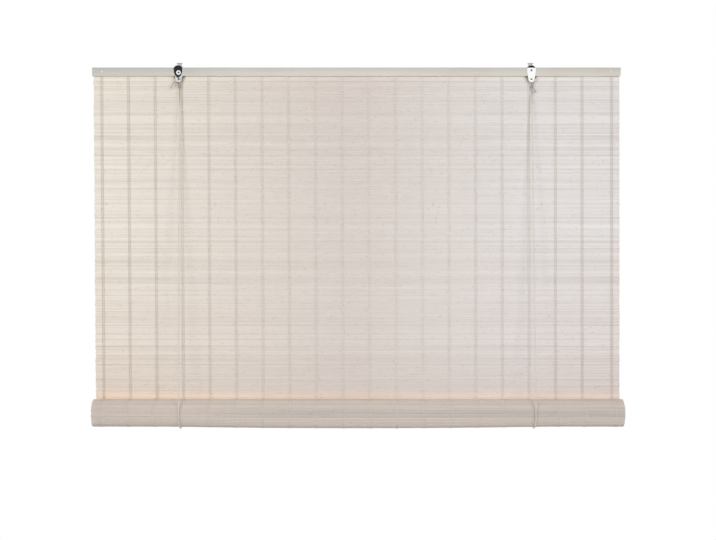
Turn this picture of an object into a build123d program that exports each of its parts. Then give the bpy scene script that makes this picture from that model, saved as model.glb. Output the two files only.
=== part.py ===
from build123d import *
import math
import os

# Bamboo roll-up blind, 1.5 m wide, shown part rolled up.
# +X runs along the head rail, -Y faces the room, +Y faces the wall and +Z is up.
# The origin lies midway between the two hanging holes, on the face towards the wall.
# All sizes are in millimetres.

os.makedirs("parts", exist_ok=True)

# Head rail and the batten behind it. The brackets are not centred on the rail.
bracket_spacing = 1002.0
left_overhang = 246.0
right_overhang = 254.0
rail_height = 23.5
rail_depth = 12.0
batten_height = 22.0
batten_depth = 8.0
edge_round = 1.2
hole_above_rail = 7.0

# Slatted mat. One rib of the wall stands for two slats.
slat_wall = 2.2
rib_pitch = 5.43
groove_depth = 0.5
groove_half = 0.35
mat_top_margin = 1.0
mat_left_margin = 2.0
mat_right_margin = 0.5
mat_left_drift = 7.0
cut_margin = 1.0

# Warp threads, a flat strip on each face of the mat.
thread_count = 20
thread_pitch = 76.05
thread_margin = 23.0
thread_width = 9.0
thread_depth = 0.4
thread_gap = 0.05
thread_rail_gap = 1.0

# Roll. The mat goes down behind it, round under it and winds inward.
roll_radius = 42.5
turn_pitch = 4.2
wound_length = 815.0
roll_axis_drop = 976.8
roll_end_drift = 9.0
body_gap = 0.3

# Strip of wood nailed inside the end of the mat.
core_height = 18.0
core_depth = 9.0
core_ribs = 4

# Nails.
nail_radius = 0.8
nail_head_radius = 1.9
nail_head = 0.6
nail_play = 0.03
end_nail_margin = 28.0
rear_nail_count = 7
rear_nail_margin = 90.0
nail_end_wall = 3.0
core_nail_margin = 60.0
core_hole_wall = 1.0
core_nail_wall = 1.5
head_round_share = 0.7

# Front plate of each bracket, with the axle near its rounded foot.
plate_thickness = 1.2
plate_width = 25.0
plate_shoulder = 11.0
plate_top_margin = 1.0
plate_corner = 2.0
plate_foot_radius = 8.5
axle_below_rail_top = 33.5
face_chamfer = 0.3

# Black shield plate of each bracket: its top stands above the rail and its foot is a blunt V.
shield_thickness = 1.0
shield_rise = 5.6
shield_half_top = 5.7
shield_half_width = 12.3
shield_shoulder_drop = 0.6
shield_half_side = 11.4
shield_side_drop = 14.0
shield_half_waist = 8.0
shield_waist_drop = 22.5
shield_half_tip = 1.6
shield_tip_drop = 29.6
shield_corner = 1.0
left_shield_shift = -1.5

# Hanging plate at the back of each bracket.
hanger_width = 23.0
hanger_neck = 13.0
hanger_neck_rise = 8.0
hanger_rise = 16.0
hanger_drop = 41.0
hanger_tail_width = 14.0
hanger_hole_radius = 2.5
lip_width = 18.5
lip_reach = 4.0
lip_overhang = 2.7
lip_round = 1.0

# Pulley wheel, its cheek and its axle.
wheel_radius = 8.0
groove_radius = 6.0
wheel_width = 5.0
hub_radius = 3.4
hub_play = 0.2
groove_flange = 0.9
cheek_foot_radius = 6.5
cheek_width = 32.0
cheek_shoulder = 4.0
cheek_tab = 5.6
cheek_tab_setback = 1.0
cheek_mat_gap = 2.0
axle_radius = 1.5
running_play = 0.05
rivet_head_radius = 2.6
rivet_head = 1.2
rivet_foot = 0.6

# Screws and the washer.
screw_radius = 1.4
screw_head_radius = 2.8
screw_head = 1.3
screw_length = 9.0
screw_hole_spare = 1.0
small_screw_length = 6.0
washer_outer = 6.4
washer_thickness = 0.9
front_screw_drop = 8.3
washer_screw_drop = 14.8
hanger_screw_spread = 13.0

# Lift cord.
cord_radius = 1.25
anchor_drop = 35.0
anchor_hole_radius = 1.8
anchor_bend = 4.0
anchor_knot_radius = 2.7
anchor_tail = 11.0
knot_radius = 4.0
knot_drop = 55.8
knot_shift = 2.0
leg_stop = 3.75
left_tail = 22.0
right_tail = 15.0
left_tail_turn = -50.0
right_tail_turn = 32.0
left_sling_shift = 10.0
right_sling_shift = 3.0
cord_gap = 0.05

# Places worked out from the sizes.
rail_top = -hole_above_rail
rail_bottom = rail_top - rail_height
rail_left = -bracket_spacing / 2 - left_overhang
rail_right = bracket_spacing / 2 + right_overhang
rail_length = rail_right - rail_left
rail_middle = rail_top - rail_height / 2
hanger_back = 0.0
batten_back = hanger_back - plate_thickness
batten_front = batten_back - batten_depth
batten_y = (batten_front + batten_back) / 2
mat_back = batten_front
mat_front = mat_back - slat_wall
mat_y = (mat_front + mat_back) / 2
rail_back = mat_front
rail_front = rail_back - rail_depth
rail_y = (rail_front + rail_back) / 2
mat_top = rail_top - mat_top_margin
mat_left = rail_left + mat_left_margin
mat_right = rail_right - mat_right_margin
roll_y = mat_back - roll_radius
roll_z = rail_top - roll_axis_drop
roll_left = mat_left + roll_end_drift
center_radius = roll_radius - slat_wall / 2
axle_z = rail_top - axle_below_rail_top
cheek_back = mat_front - cheek_mat_gap
cheek_front = cheek_back - plate_thickness
wheel_y = (rail_front + cheek_front) / 2
wheel_hub_width = cheek_front - rail_front - 2 * hub_play
cord_orbit = groove_radius + body_gap + cord_radius
thread_stand = thread_gap + thread_depth
sling_orbit = roll_radius + thread_stand + body_gap + cord_radius
anchor_z = rail_top - anchor_drop
rear_cord_y = roll_y + sling_orbit
plate_front = rail_front - plate_thickness
shield_front = plate_front - shield_thickness
plate_top = rail_top - plate_top_margin
knot_z = rail_top - knot_drop
sides = {
    "left": (-bracket_spacing / 2, left_sling_shift, left_tail, washer_screw_drop),
    "right": (bracket_spacing / 2, right_sling_shift, right_tail, front_screw_drop),
}


def save(part, name):
    part.label = name
    export_step(part, "parts/" + name + ".step")


def spread(first, last, count):
    return [first + (last - first) * i / (count - 1) for i in range(count)]


# Each entry of a chain is the middle of the mat where two ribs meet, as (y, z).
def straight_chain():
    count = round((mat_top - roll_z) / rib_pitch)
    heights = spread(mat_top, roll_z + body_gap, count + 1)
    return [(mat_y, z) for z in heights]


def wound_chain():
    count = round(wound_length / rib_pitch)
    turn = 0.0
    chain = []
    for _ in range(count + 1):
        radius = center_radius - turn_pitch * turn / (2 * math.pi)
        chain.append((roll_y + radius * math.cos(turn), roll_z - radius * math.sin(turn)))
        turn += rib_pitch / radius
    first = chain[-1 - core_ribs]
    last = chain[-1]
    for i in range(1, core_ribs):
        share = i / core_ribs
        chain[-1 - core_ribs + i] = tuple(a + (b - a) * share for a, b in zip(first, last))
    return chain


# The outline of the ribs: a flat on each face of a rib and a groove between two ribs.
def rib_outline(chain):
    half = slat_wall / 2
    faces = {1: [], -1: []}
    before = None
    for (y0, z0), (y1, z1) in zip(chain, chain[1:]):
        run = math.hypot(y1 - y0, z1 - z0)
        along = ((y1 - y0) / run, (z1 - z0) / run)
        normal = (-along[1], along[0])
        for face, points in faces.items():
            if before is not None:
                mean = (normal[0] + before[0], normal[1] + before[1])
                size = math.hypot(*mean)
                depth = face * (half - groove_depth) / size
                points.append((y0 + mean[0] * depth, z0 + mean[1] * depth))
            start = groove_half if before is not None else 0
            for place in (start, run - groove_half):
                points.append(
                    (
                        y0 + along[0] * place + normal[0] * face * half,
                        z0 + along[1] * place + normal[1] * face * half,
                    )
                )
        before = normal
    return faces[1] + faces[-1][::-1]


wound = wound_chain()

# Nails that hold the rail, the mat and the batten together.
front_nail_xs = (rail_left + end_nail_margin, rail_right - end_nail_margin)
rear_nail_xs = spread(rail_left + rear_nail_margin, rail_right - rear_nail_margin, rear_nail_count)
nail_length = rail_depth + slat_wall + batten_depth - nail_end_wall

# Head rail: a planed strip with eased long edges and blind screw holes.
with BuildPart() as head_rail:
    with BuildSketch(Plane.YZ.offset(rail_left)):
        with Locations((rail_y, rail_middle)):
            RectangleRounded(rail_depth, rail_height, edge_round)
    extrude(amount=rail_length)
    with BuildSketch(Plane.XZ.offset(-rail_front)):
        for x, _, _, drop in sides.values():
            with Locations((x, rail_top - drop)):
                Circle(screw_radius + nail_play)
    extrude(amount=-screw_length, mode=Mode.SUBTRACT)
    with BuildSketch(Plane.XZ.offset(-rail_front)):
        with Locations([(x, rail_middle) for x in front_nail_xs]):
            Circle(nail_radius + nail_play)
    extrude(amount=-rail_depth, mode=Mode.SUBTRACT)
    with BuildSketch(Plane.XZ.offset(-rail_back)):
        with Locations([(x, rail_middle) for x in rear_nail_xs]):
            Circle(nail_radius + nail_play)
    extrude(amount=rail_depth - nail_end_wall, mode=Mode.SUBTRACT)
    with BuildSketch(Plane.XY.offset(rail_bottom)):
        for x, _, _, _ in sides.values():
            for side in (-1, 1):
                with Locations((x + side * (cheek_width - cheek_tab) / 2, rail_y)):
                    Circle(screw_radius + nail_play)
    extrude(amount=small_screw_length, mode=Mode.SUBTRACT)
save(head_rail.part, "head_rail")

# Rear batten: a thinner strip that clamps the top of the mat.
with BuildPart() as rear_batten:
    with BuildSketch(Plane.YZ.offset(rail_left)):
        with Locations((batten_y, rail_middle)):
            RectangleRounded(batten_depth, batten_height, edge_round)
    extrude(amount=rail_length)
    with BuildSketch(Plane.XZ.offset(-batten_back)):
        with Locations([(x, rail_middle) for x in rear_nail_xs]):
            Circle(nail_radius + nail_play)
    extrude(amount=batten_depth, mode=Mode.SUBTRACT)
    with BuildSketch(Plane.XZ.offset(-batten_front)):
        with Locations([(x, rail_middle) for x in front_nail_xs]):
            Circle(nail_radius + nail_play)
    extrude(amount=nail_end_wall - batten_depth, mode=Mode.SUBTRACT)
    with BuildSketch(Plane.XZ.offset(-batten_back)):
        for x, _, _, _ in sides.values():
            for side in (-1, 1):
                with Locations((x + side * hanger_screw_spread / 2, rail_middle)):
                    Circle(screw_radius + nail_play)
    extrude(amount=small_screw_length, mode=Mode.SUBTRACT)
save(rear_batten.part, "rear_batten")

# End nails, driven from the front.
with BuildPart() as front_nails:
    for x in front_nail_xs:
        with BuildSketch(Plane.XZ.offset(-rail_front)):
            with Locations((x, rail_middle)):
                Circle(nail_radius)
        extrude(amount=-nail_length)
        with BuildSketch(Plane.XZ.offset(-rail_front)):
            with Locations((x, rail_middle)):
                Circle(nail_head_radius)
        extrude(amount=nail_head)
save(front_nails.part, "front_nails")

# The other nails, driven from the back.
with BuildPart() as rear_nails:
    for x in rear_nail_xs:
        with BuildSketch(Plane.XZ.offset(-batten_back)):
            with Locations((x, rail_middle)):
                Circle(nail_radius)
        extrude(amount=nail_length)
        with BuildSketch(Plane.XZ.offset(-batten_back)):
            with Locations((x, rail_middle)):
                Circle(nail_head_radius)
        extrude(amount=-nail_head)
save(rear_nails.part, "rear_nails")

# Flat stretch of the mat, a wall of horizontal ribs. Its left edge drifts inward to the roll.
with BuildPart() as mat_panel:
    with BuildSketch(Plane.YZ.offset(mat_left)):
        with BuildLine():
            Polyline(*rib_outline(straight_chain()), close=True)
        make_face()
    extrude(amount=mat_right - mat_left)
    with BuildSketch(Plane.XZ.offset(cut_margin - mat_front)):
        with BuildLine():
            Polyline(
                (mat_left - cut_margin, mat_top),
                (mat_left, mat_top),
                (mat_left + mat_left_drift, roll_z - cut_margin),
                (mat_left - cut_margin, roll_z - cut_margin),
                close=True,
            )
        make_face()
    extrude(amount=-slat_wall - 2 * cut_margin, mode=Mode.SUBTRACT)
    with BuildSketch(Plane.XZ.offset(-mat_front)):
        with Locations([(x, rail_middle) for x in (*front_nail_xs, *rear_nail_xs)]):
            Circle(nail_radius + nail_play)
    extrude(amount=-slat_wall, mode=Mode.SUBTRACT)
save(mat_panel.part, "mat_panel")

# Warp threads on both faces of the flat stretch.
thread_xs = [mat_left + thread_margin + i * thread_pitch for i in range(thread_count - 1)]
thread_xs.append(mat_right - thread_margin)
thread_top = rail_bottom - thread_rail_gap
thread_length = thread_top - roll_z - body_gap
thread_offset = thread_gap + thread_depth / 2
with BuildPart() as panel_threads:
    for x in thread_xs:
        for y in (mat_front - thread_offset, mat_back + thread_offset):
            with Locations((x, y, thread_top - thread_length / 2)):
                Box(thread_width, thread_depth, thread_length)
save(panel_threads.part, "panel_threads")

# Rolled stretch of the mat, one band of flat ribs that winds inward.
with BuildPart() as mat_roll:
    with BuildSketch(Plane.YZ.offset(roll_left)):
        with BuildLine():
            Polyline(*rib_outline(wound), close=True)
        make_face()
    extrude(amount=mat_right - roll_left)
save(mat_roll.part, "mat_roll")

# Core strip, laid flat against the last ribs of the mat.
core_start = Vector(0, *wound[-1 - core_ribs])
core_end = Vector(0, *wound[-1])
core_along = (core_end - core_start).normalized()
core_inward = core_along.cross(Vector(1, 0, 0))
core_middle = (core_start + core_end) * 0.5
core_seat = core_middle + core_inward * (slat_wall / 2 + cord_gap)
core_plane = Plane(origin=core_seat, x_dir=(1, 0, 0), z_dir=core_inward)
core_x = (roll_left + mat_right) / 2
core_length = mat_right - roll_left
core_nail_reach = core_length / 2 - core_nail_margin
core_nail_xs = spread(-core_nail_reach, core_nail_reach, rear_nail_count)
with BuildPart() as bottom_batten:
    with BuildSketch(core_plane):
        with Locations((core_x, 0)):
            Rectangle(core_length, core_height)
    extrude(amount=core_depth)
    fillet(bottom_batten.edges().filter_by(Axis.X), edge_round)
    with BuildSketch(core_plane.offset(core_depth)):
        with Locations([(core_x + x, 0) for x in core_nail_xs]):
            Circle(nail_radius + nail_play)
    extrude(amount=core_hole_wall - core_depth, mode=Mode.SUBTRACT)
save(bottom_batten.part, "bottom_batten")

# Nails of the core strip.
with BuildPart() as bottom_nails:
    for x in core_nail_xs:
        with BuildSketch(core_plane.offset(core_depth)):
            with Locations((core_x + x, 0)):
                Circle(nail_radius)
        extrude(amount=core_nail_wall - core_depth)
        with BuildSketch(core_plane.offset(core_depth)):
            with Locations((core_x + x, 0)):
                Circle(nail_head_radius)
        extrude(amount=nail_head)
save(bottom_nails.part, "bottom_nails")


# Front plate: straight shoulders that taper to a round foot about the axle.
def make_front_plate(x, screw_drop, stand):
    with BuildPart() as front_plate:
        with BuildSketch(Plane.XZ.offset(stand - rail_front)) as outline:
            with Locations((x, plate_top - plate_shoulder / 2)):
                Rectangle(plate_width, plate_shoulder)
            with Locations((x, axle_z)):
                Circle(plate_foot_radius)
            make_hull()
            fillet(outline.vertices().group_by(Axis.Y)[-1], plate_corner)
            with Locations((x, axle_z), (x, rail_top - screw_drop)):
                Circle(axle_radius + running_play, mode=Mode.SUBTRACT)
        extrude(amount=plate_thickness)
        face_edges = front_plate.edges().group_by(Axis.Y)[0]
        chamfer(face_edges.sort_by(Edge.length)[-1:], face_chamfer)
    return front_plate.part


# Shield plate: black, pressed against the rail on the right and in front on the left.
def make_shield(x, shift, screw_drop, stand):
    with BuildPart() as shield:
        with BuildSketch(Plane.XZ.offset(stand - rail_front)) as outline:
            with BuildLine():
                half_outline = [
                    (shield_half_top, rail_top + shield_rise),
                    (shield_half_width, rail_top - shield_shoulder_drop),
                    (shield_half_side, rail_top - shield_side_drop),
                    (shield_half_waist, rail_top - shield_waist_drop),
                    (shield_half_tip, rail_top - shield_tip_drop),
                ]
                right_side = [(x + shift + across, z) for across, z in half_outline]
                left_side = [(x + shift - across, z) for across, z in reversed(half_outline)]
                Polyline(*right_side, *left_side, close=True)
            make_face()
            fillet(outline.vertices(), shield_corner)
            with Locations((x, rail_top - screw_drop)):
                Circle(screw_radius + running_play, mode=Mode.SUBTRACT)
        extrude(amount=shield_thickness)
    return shield.part


# Hanging plate: stands above the rail behind it, with a hanging hole, a lip and a cord hole.
def make_hanger(x):
    with BuildPart() as hanger:
        with BuildSketch(Plane.XZ.offset(-batten_back)):
            with BuildLine():
                half_outline = [
                    (lip_width / 2 - lip_overhang, rail_top + hanger_rise),
                    (hanger_neck / 2, rail_top + hanger_neck_rise),
                    (hanger_width / 2, rail_top),
                    (hanger_width / 2, rail_bottom + plate_corner),
                    (hanger_tail_width / 2, rail_bottom - plate_corner),
                    (hanger_tail_width / 2, rail_top - hanger_drop),
                ]
                right_side = [(x + across, z) for across, z in half_outline]
                left_side = [(x - across, z) for across, z in reversed(half_outline)]
                Polyline(*right_side, *left_side, close=True)
            make_face()
            with Locations((x, 0)):
                Circle(hanger_hole_radius, mode=Mode.SUBTRACT)
            with Locations((x, anchor_z)):
                Circle(anchor_hole_radius, mode=Mode.SUBTRACT)
            for side in (-1, 1):
                with Locations((x + side * hanger_screw_spread / 2, rail_middle)):
                    Circle(screw_radius + running_play, mode=Mode.SUBTRACT)
        extrude(amount=-plate_thickness)
        lip_length = lip_reach + plate_thickness
        lip_z = rail_top + hanger_rise - plate_thickness / 2
        with Locations((x, hanger_back - lip_length / 2, lip_z)):
            Box(lip_width, lip_length, plate_thickness)
        top_edges = hanger.edges().filter_by(Axis.X).group_by(Axis.Z)[-1]
        fillet(top_edges.sort_by(Axis.Y)[-1], lip_round)
    return hanger.part


# Cheek: carries the back end of the axle and is screwed to the underside of the rail.
def make_cheek(x):
    with BuildPart() as cheek:
        with BuildSketch(Plane.XZ.offset(-cheek_back)):
            with Locations((x, rail_bottom - cheek_shoulder / 2)):
                Rectangle(cheek_width, cheek_shoulder)
            with Locations((x, axle_z)):
                Circle(cheek_foot_radius)
            make_hull()
            with Locations((x, axle_z)):
                Circle(axle_radius + running_play, mode=Mode.SUBTRACT)
        extrude(amount=plate_thickness)
        tab_length = cheek_front - rail_front - cheek_tab_setback
        with BuildSketch(Plane.XY.offset(rail_bottom)):
            for side in (-1, 1):
                across = x + side * (cheek_width - cheek_tab) / 2
                with Locations((across, cheek_front - tab_length / 2)):
                    Rectangle(cheek_tab, tab_length)
        extrude(amount=-plate_thickness)
        with BuildSketch(Plane.XY.offset(rail_bottom)):
            for side in (-1, 1):
                across = x + side * (cheek_width - cheek_tab) / 2
                with Locations((across, rail_y)):
                    Circle(screw_radius + running_play)
        extrude(amount=-plate_thickness, mode=Mode.SUBTRACT)
    return cheek.part


# Grooved pulley wheel with a longer hub.
def make_wheel(x, stand):
    with BuildPart() as wheel:
        with BuildSketch(Plane.XY.offset(axle_z)):
            with BuildLine():
                rim = x + wheel_radius
                root = x + groove_radius
                hub = x + hub_radius
                bore = x + axle_radius + running_play
                half = wheel_width / 2
                half_hub = wheel_hub_width / 2
                Polyline(
                    (rim, wheel_y - half + groove_flange),
                    (rim, wheel_y - half),
                    (hub, wheel_y - half),
                    (hub, wheel_y - half_hub - stand),
                    (bore, wheel_y - half_hub - stand),
                    (bore, wheel_y + half_hub),
                    (hub, wheel_y + half_hub),
                    (hub, wheel_y + half),
                    (rim, wheel_y + half),
                    (rim, wheel_y + half - groove_flange),
                )
                ThreePointArc(
                    (rim, wheel_y - half + groove_flange),
                    (root, wheel_y),
                    (rim, wheel_y + half - groove_flange),
                )
            make_face()
        revolve(axis=Axis((x, 0, axle_z), (0, 1, 0)))
    return wheel.part


# A round-headed pin: the head stands at the seat and the shank runs the other way.
def make_pin(seat, shank_radius, shank_length, head_radius, head_height):
    with BuildPart() as pin:
        with BuildSketch(seat):
            Circle(shank_radius)
        extrude(amount=-shank_length)
        with BuildSketch(seat):
            Circle(head_radius)
        extrude(amount=head_height)
        rims = pin.edges().filter_by(GeomType.CIRCLE).sort_by(seat_axis(seat))
        fillet(rims[-1], head_height * head_round_share)
    return pin.part


def seat_axis(seat):
    return Axis(seat.origin, seat.z_dir)


# Axle: a rivet with its dome in front of the plate and a flat foot behind the cheek.
def make_axle(x, stand):
    seat = Plane(origin=(x, plate_front - stand, axle_z), x_dir=(1, 0, 0), z_dir=(0, -1, 0))
    length = cheek_back - plate_front + stand
    with BuildPart() as axle:
        add(make_pin(seat, axle_radius, length, rivet_head_radius, rivet_head))
        with BuildSketch(seat.offset(-length)):
            Circle(rivet_head_radius)
        extrude(amount=-rivet_foot)
    return axle.part


def make_plate_screw(x, screw_drop, under_head):
    place = (x, shield_front - under_head, rail_top - screw_drop)
    seat = Plane(origin=place, x_dir=(1, 0, 0), z_dir=(0, -1, 0))
    length = rail_front - shield_front + under_head + screw_length - screw_hole_spare
    return make_pin(seat, screw_radius, length, screw_head_radius, screw_head)


def make_hanger_screws(x):
    with BuildPart() as screws:
        for side in (-1, 1):
            place = (x + side * hanger_screw_spread / 2, hanger_back, rail_middle)
            seat = Plane(origin=place, x_dir=(1, 0, 0), z_dir=(0, 1, 0))
            add(make_pin(seat, screw_radius, small_screw_length, screw_head_radius, screw_head))
    return screws.part


def make_cheek_screws(x):
    with BuildPart() as screws:
        for side in (-1, 1):
            across = x + side * (cheek_width - cheek_tab) / 2
            place = (across, rail_y, rail_bottom - plate_thickness)
            seat = Plane(origin=place, x_dir=(1, 0, 0), z_dir=(0, 0, -1))
            add(make_pin(seat, screw_radius, small_screw_length, screw_head_radius, screw_head))
    return screws.part


# Point where a line from a place touches a circle, both in one plane.
def touch_point(center, radius, place, side):
    reach = math.dist(center, place)
    toward = math.atan2(place[1] - center[1], place[0] - center[0])
    angle = toward + side * math.acos(radius / reach)
    return (center[0] + radius * math.cos(angle), center[1] + radius * math.sin(angle))


# Upper end of the lift cord: over the wheel, tied in a knot below it, with a loose tail.
def make_cord_tie(x, tail_length, tail_turn):
    axle = (x, axle_z)
    knot = (x + knot_shift, knot_z)
    first = touch_point(axle, cord_orbit, knot, 1)
    last = touch_point(axle, cord_orbit, knot, -1)
    reach = math.dist(axle, knot)
    crown = (
        axle[0] - (knot[0] - axle[0]) * cord_orbit / reach,
        axle[1] - (knot[1] - axle[1]) * cord_orbit / reach,
    )
    leg = math.dist(first, knot)
    share = (leg - leg_stop) / leg
    ends = [
        (place[0] + (knot[0] - place[0]) * share, place[1] + (knot[1] - place[1]) * share)
        for place in (first, last)
    ]
    with BuildPart() as tie:
        with BuildLine(Plane.XZ.offset(-wheel_y)) as loop:
            Line(ends[0], first)
            ThreePointArc(first, crown, last)
            Line(last, ends[1])
        with BuildSketch(Plane(origin=loop.line @ 0, z_dir=loop.line % 0)):
            Circle(cord_radius)
        sweep(path=loop.line)
        with Locations((knot[0], wheel_y, knot_z)):
            Sphere(knot_radius)
        turn = math.radians(tail_turn)
        tail_way = (math.sin(turn), 0, -math.cos(turn))
        with BuildSketch(Plane(origin=(knot[0], wheel_y, knot_z), z_dir=tail_way)):
            Circle(cord_radius)
        extrude(amount=tail_length)
    return tie.part


# The front run starts below the knot and touches the sling's circle in front of the roll.
cord_top = (wheel_y, knot_z - knot_radius - body_gap)
cord_touch = touch_point((roll_y, roll_z), sling_orbit, cord_top, 1)


# Straight run of the cord from the knot down to the front of the roll.
def make_front_cord(x, sling_x):
    start = Vector(x + knot_shift, *cord_top)
    end = Vector(sling_x, *cord_touch)
    run = end - start
    with BuildPart() as cord:
        with BuildSketch(Plane(origin=start, z_dir=run)):
            Circle(cord_radius)
        extrude(amount=run.length - cord_gap)
    print("front cord run", round(run.length, 1))
    return cord.part


# The cord under the roll, from behind the mat to the front run.
def make_sling(sling_x):
    front = math.atan2(cord_touch[1] - roll_z, cord_touch[0] - roll_y)
    arc = 360 - math.degrees(front) % 360
    with BuildPart() as sling:
        with BuildSketch(Plane.XY.offset(roll_z)):
            with Locations((sling_x, roll_y + sling_orbit)):
                Circle(cord_radius)
        revolve(axis=Axis((0, roll_y, roll_z), (-1, 0, 0)), revolution_arc=arc)
    print("sling arc", round(arc, 1), "length", round(math.radians(arc) * sling_orbit, 1))
    return sling.part


# Run behind the mat, which turns back through the cord hole of the hanging plate.
def make_rear_cord(x, sling_x):
    places = [
        (sling_x, rear_cord_y, roll_z + cord_gap),
        (x, rear_cord_y, anchor_z),
        (x, hanger_back - body_gap, anchor_z),
    ]
    with BuildPart() as cord:
        with BuildLine():
            route = FilletPolyline(*places, radius=anchor_bend)
        with BuildSketch(Plane(origin=route @ 0, z_dir=route % 0)):
            Circle(cord_radius)
        sweep(path=route)
    section = math.pi * cord_radius**2 * route.length
    print("rear cord run", round(route.length, 1), "radius", anchor_bend)
    print("tube volume", round(cord.part.volume, 1), "section times length", round(section, 1))
    return cord.part


# Stopper knot behind the hanging plate, with its end hanging down.
def make_anchor_knot(x):
    knot_y = hanger_back + anchor_knot_radius + cord_gap
    with BuildPart() as knot:
        with Locations((x, knot_y, anchor_z)):
            Sphere(anchor_knot_radius)
        with BuildSketch(Plane.XY.offset(anchor_z)):
            with Locations((x, knot_y)):
                Circle(cord_radius)
        extrude(amount=-anchor_tail)
    return knot.part


for side, (x, shift, tail, drop) in sides.items():
    sling_x = x + shift
    is_left = side == "left"
    under_head = washer_thickness if is_left else 0
    plate_stand = 0 if is_left else shield_thickness
    shield_stand = plate_thickness if is_left else 0
    shield_shift = left_shield_shift if is_left else 0
    tail_turn = left_tail_turn if is_left else right_tail_turn
    save(make_front_plate(x, drop, plate_stand), side + "_front_plate")
    save(make_shield(x, shield_shift, drop, shield_stand), side + "_shield_plate")
    save(make_hanger(x), side + "_hanging_plate")
    save(make_cheek(x), side + "_pulley_cheek")
    save(make_wheel(x, plate_stand), side + "_pulley_wheel")
    save(make_axle(x, plate_stand), side + "_axle_rivet")
    save(make_plate_screw(x, drop, under_head), side + "_plate_screw")
    save(make_hanger_screws(x), side + "_hanger_screws")
    save(make_cheek_screws(x), side + "_cheek_screws")
    save(make_cord_tie(x, tail, tail_turn), side + "_cord_tie")
    save(make_front_cord(x, sling_x), side + "_front_cord")
    save(make_sling(sling_x), side + "_cord_sling")
    save(make_rear_cord(x, sling_x), side + "_rear_cord")
    save(make_anchor_knot(x), side + "_anchor_knot")

# Large bright washer under the left plate screw.
with BuildPart() as left_washer:
    left_x = sides["left"][0]
    with BuildSketch(Plane.XZ.offset(-shield_front)):
        with Locations((left_x, rail_top - washer_screw_drop)):
            Circle(washer_outer)
            Circle(screw_radius + running_play, mode=Mode.SUBTRACT)
    extrude(amount=washer_thickness)
    fillet(left_washer.edges().group_by(Axis.Y)[0].sort_by(Edge.length)[-1], washer_thickness / 2)
save(left_washer.part, "left_washer")
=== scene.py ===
# %% [markdown]
# # A bamboo roll-up blind
# The blind is a mat of thin whitewashed bamboo slats, bound by rows of warp thread.
# It hangs from a timber head rail and is rolled up from below in two cords.
# The rail, the plates, the wheels and the screws are used as they come from the frame
# and only get a finish. The mat, the threads and the cords are made here, because their
# look is in hundreds of small parts that a solid model leaves plain.

# %% Load the frame and measure it
import math

import bpy
import numpy as np
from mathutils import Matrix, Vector


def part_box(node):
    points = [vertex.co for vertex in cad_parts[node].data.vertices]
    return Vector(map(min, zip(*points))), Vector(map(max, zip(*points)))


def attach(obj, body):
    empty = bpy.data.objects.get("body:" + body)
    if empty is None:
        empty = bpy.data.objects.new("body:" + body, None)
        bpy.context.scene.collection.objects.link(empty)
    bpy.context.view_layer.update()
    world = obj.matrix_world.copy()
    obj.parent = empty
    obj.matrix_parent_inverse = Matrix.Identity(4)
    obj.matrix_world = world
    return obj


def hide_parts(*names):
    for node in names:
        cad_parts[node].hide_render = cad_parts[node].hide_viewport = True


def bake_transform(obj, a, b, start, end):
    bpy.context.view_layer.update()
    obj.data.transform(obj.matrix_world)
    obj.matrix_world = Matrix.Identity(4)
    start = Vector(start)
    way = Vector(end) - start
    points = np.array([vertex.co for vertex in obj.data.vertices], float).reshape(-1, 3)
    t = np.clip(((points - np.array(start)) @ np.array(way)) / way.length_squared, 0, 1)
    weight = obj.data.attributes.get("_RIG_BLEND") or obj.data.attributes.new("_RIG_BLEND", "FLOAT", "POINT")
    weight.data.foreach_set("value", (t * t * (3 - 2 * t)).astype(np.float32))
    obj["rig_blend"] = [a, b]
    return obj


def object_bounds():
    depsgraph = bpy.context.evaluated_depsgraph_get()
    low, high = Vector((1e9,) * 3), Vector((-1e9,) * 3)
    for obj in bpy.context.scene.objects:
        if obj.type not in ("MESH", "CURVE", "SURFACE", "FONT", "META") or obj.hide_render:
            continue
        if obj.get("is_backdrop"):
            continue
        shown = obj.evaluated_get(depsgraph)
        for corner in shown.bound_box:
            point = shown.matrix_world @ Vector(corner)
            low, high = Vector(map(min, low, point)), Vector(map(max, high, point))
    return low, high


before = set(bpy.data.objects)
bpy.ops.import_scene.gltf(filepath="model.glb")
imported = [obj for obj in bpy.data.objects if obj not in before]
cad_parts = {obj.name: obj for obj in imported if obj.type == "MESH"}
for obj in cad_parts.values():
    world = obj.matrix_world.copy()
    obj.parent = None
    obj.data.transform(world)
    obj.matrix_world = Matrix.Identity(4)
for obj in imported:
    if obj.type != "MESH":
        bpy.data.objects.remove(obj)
cad_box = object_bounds()
MM = 0.001
print("frame box in metres:", [round(v, 4) for corner in cad_box for v in corner])

# %% [markdown]
# ## Where things are
# The places below are read from the solids, and the few sizes that a box doesn't tell
# repeat theirs, so that the looks follow the construction.
# The flat stretch gives the plane of the mat, and the roll hangs in front of it. The rows
# of stitches stand at one pitch, and only the last one is set a little wider.

# %% Places taken from the solids
ROLL_RADIUS = 42.5 * MM
ROLL_OVERLAP = 0.3 * MM
FIRST_ROW_INSET = 23 * MM
ROW_PITCH = 76.05 * MM
ROW_COUNT = 20
LAST_SHIFT = 8.5 * MM
panel_low, panel_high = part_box("mat_panel")
MAT_Y = (panel_low.y + panel_high.y) / 2
MAT_TOP = panel_high.z
MAT_LEFT, MAT_RIGHT = panel_low.x, panel_high.x
ROLL_Y = panel_high.y - ROLL_RADIUS
ROLL_Z = panel_low.z - ROLL_OVERLAP
FIRST_ROW = MAT_LEFT + FIRST_ROW_INSET
print("mat plane", round(MAT_Y, 4), "roll middle", round(ROLL_Y, 4), round(ROLL_Z, 4))

# %% [markdown]
# ## Camera
# The camera comes first, so that every later look is judged in the picture's own frame.
# It looks level along +Y from 3.56 m, which gives the same small growth of the roll
# against the mat as the picture has.

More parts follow.
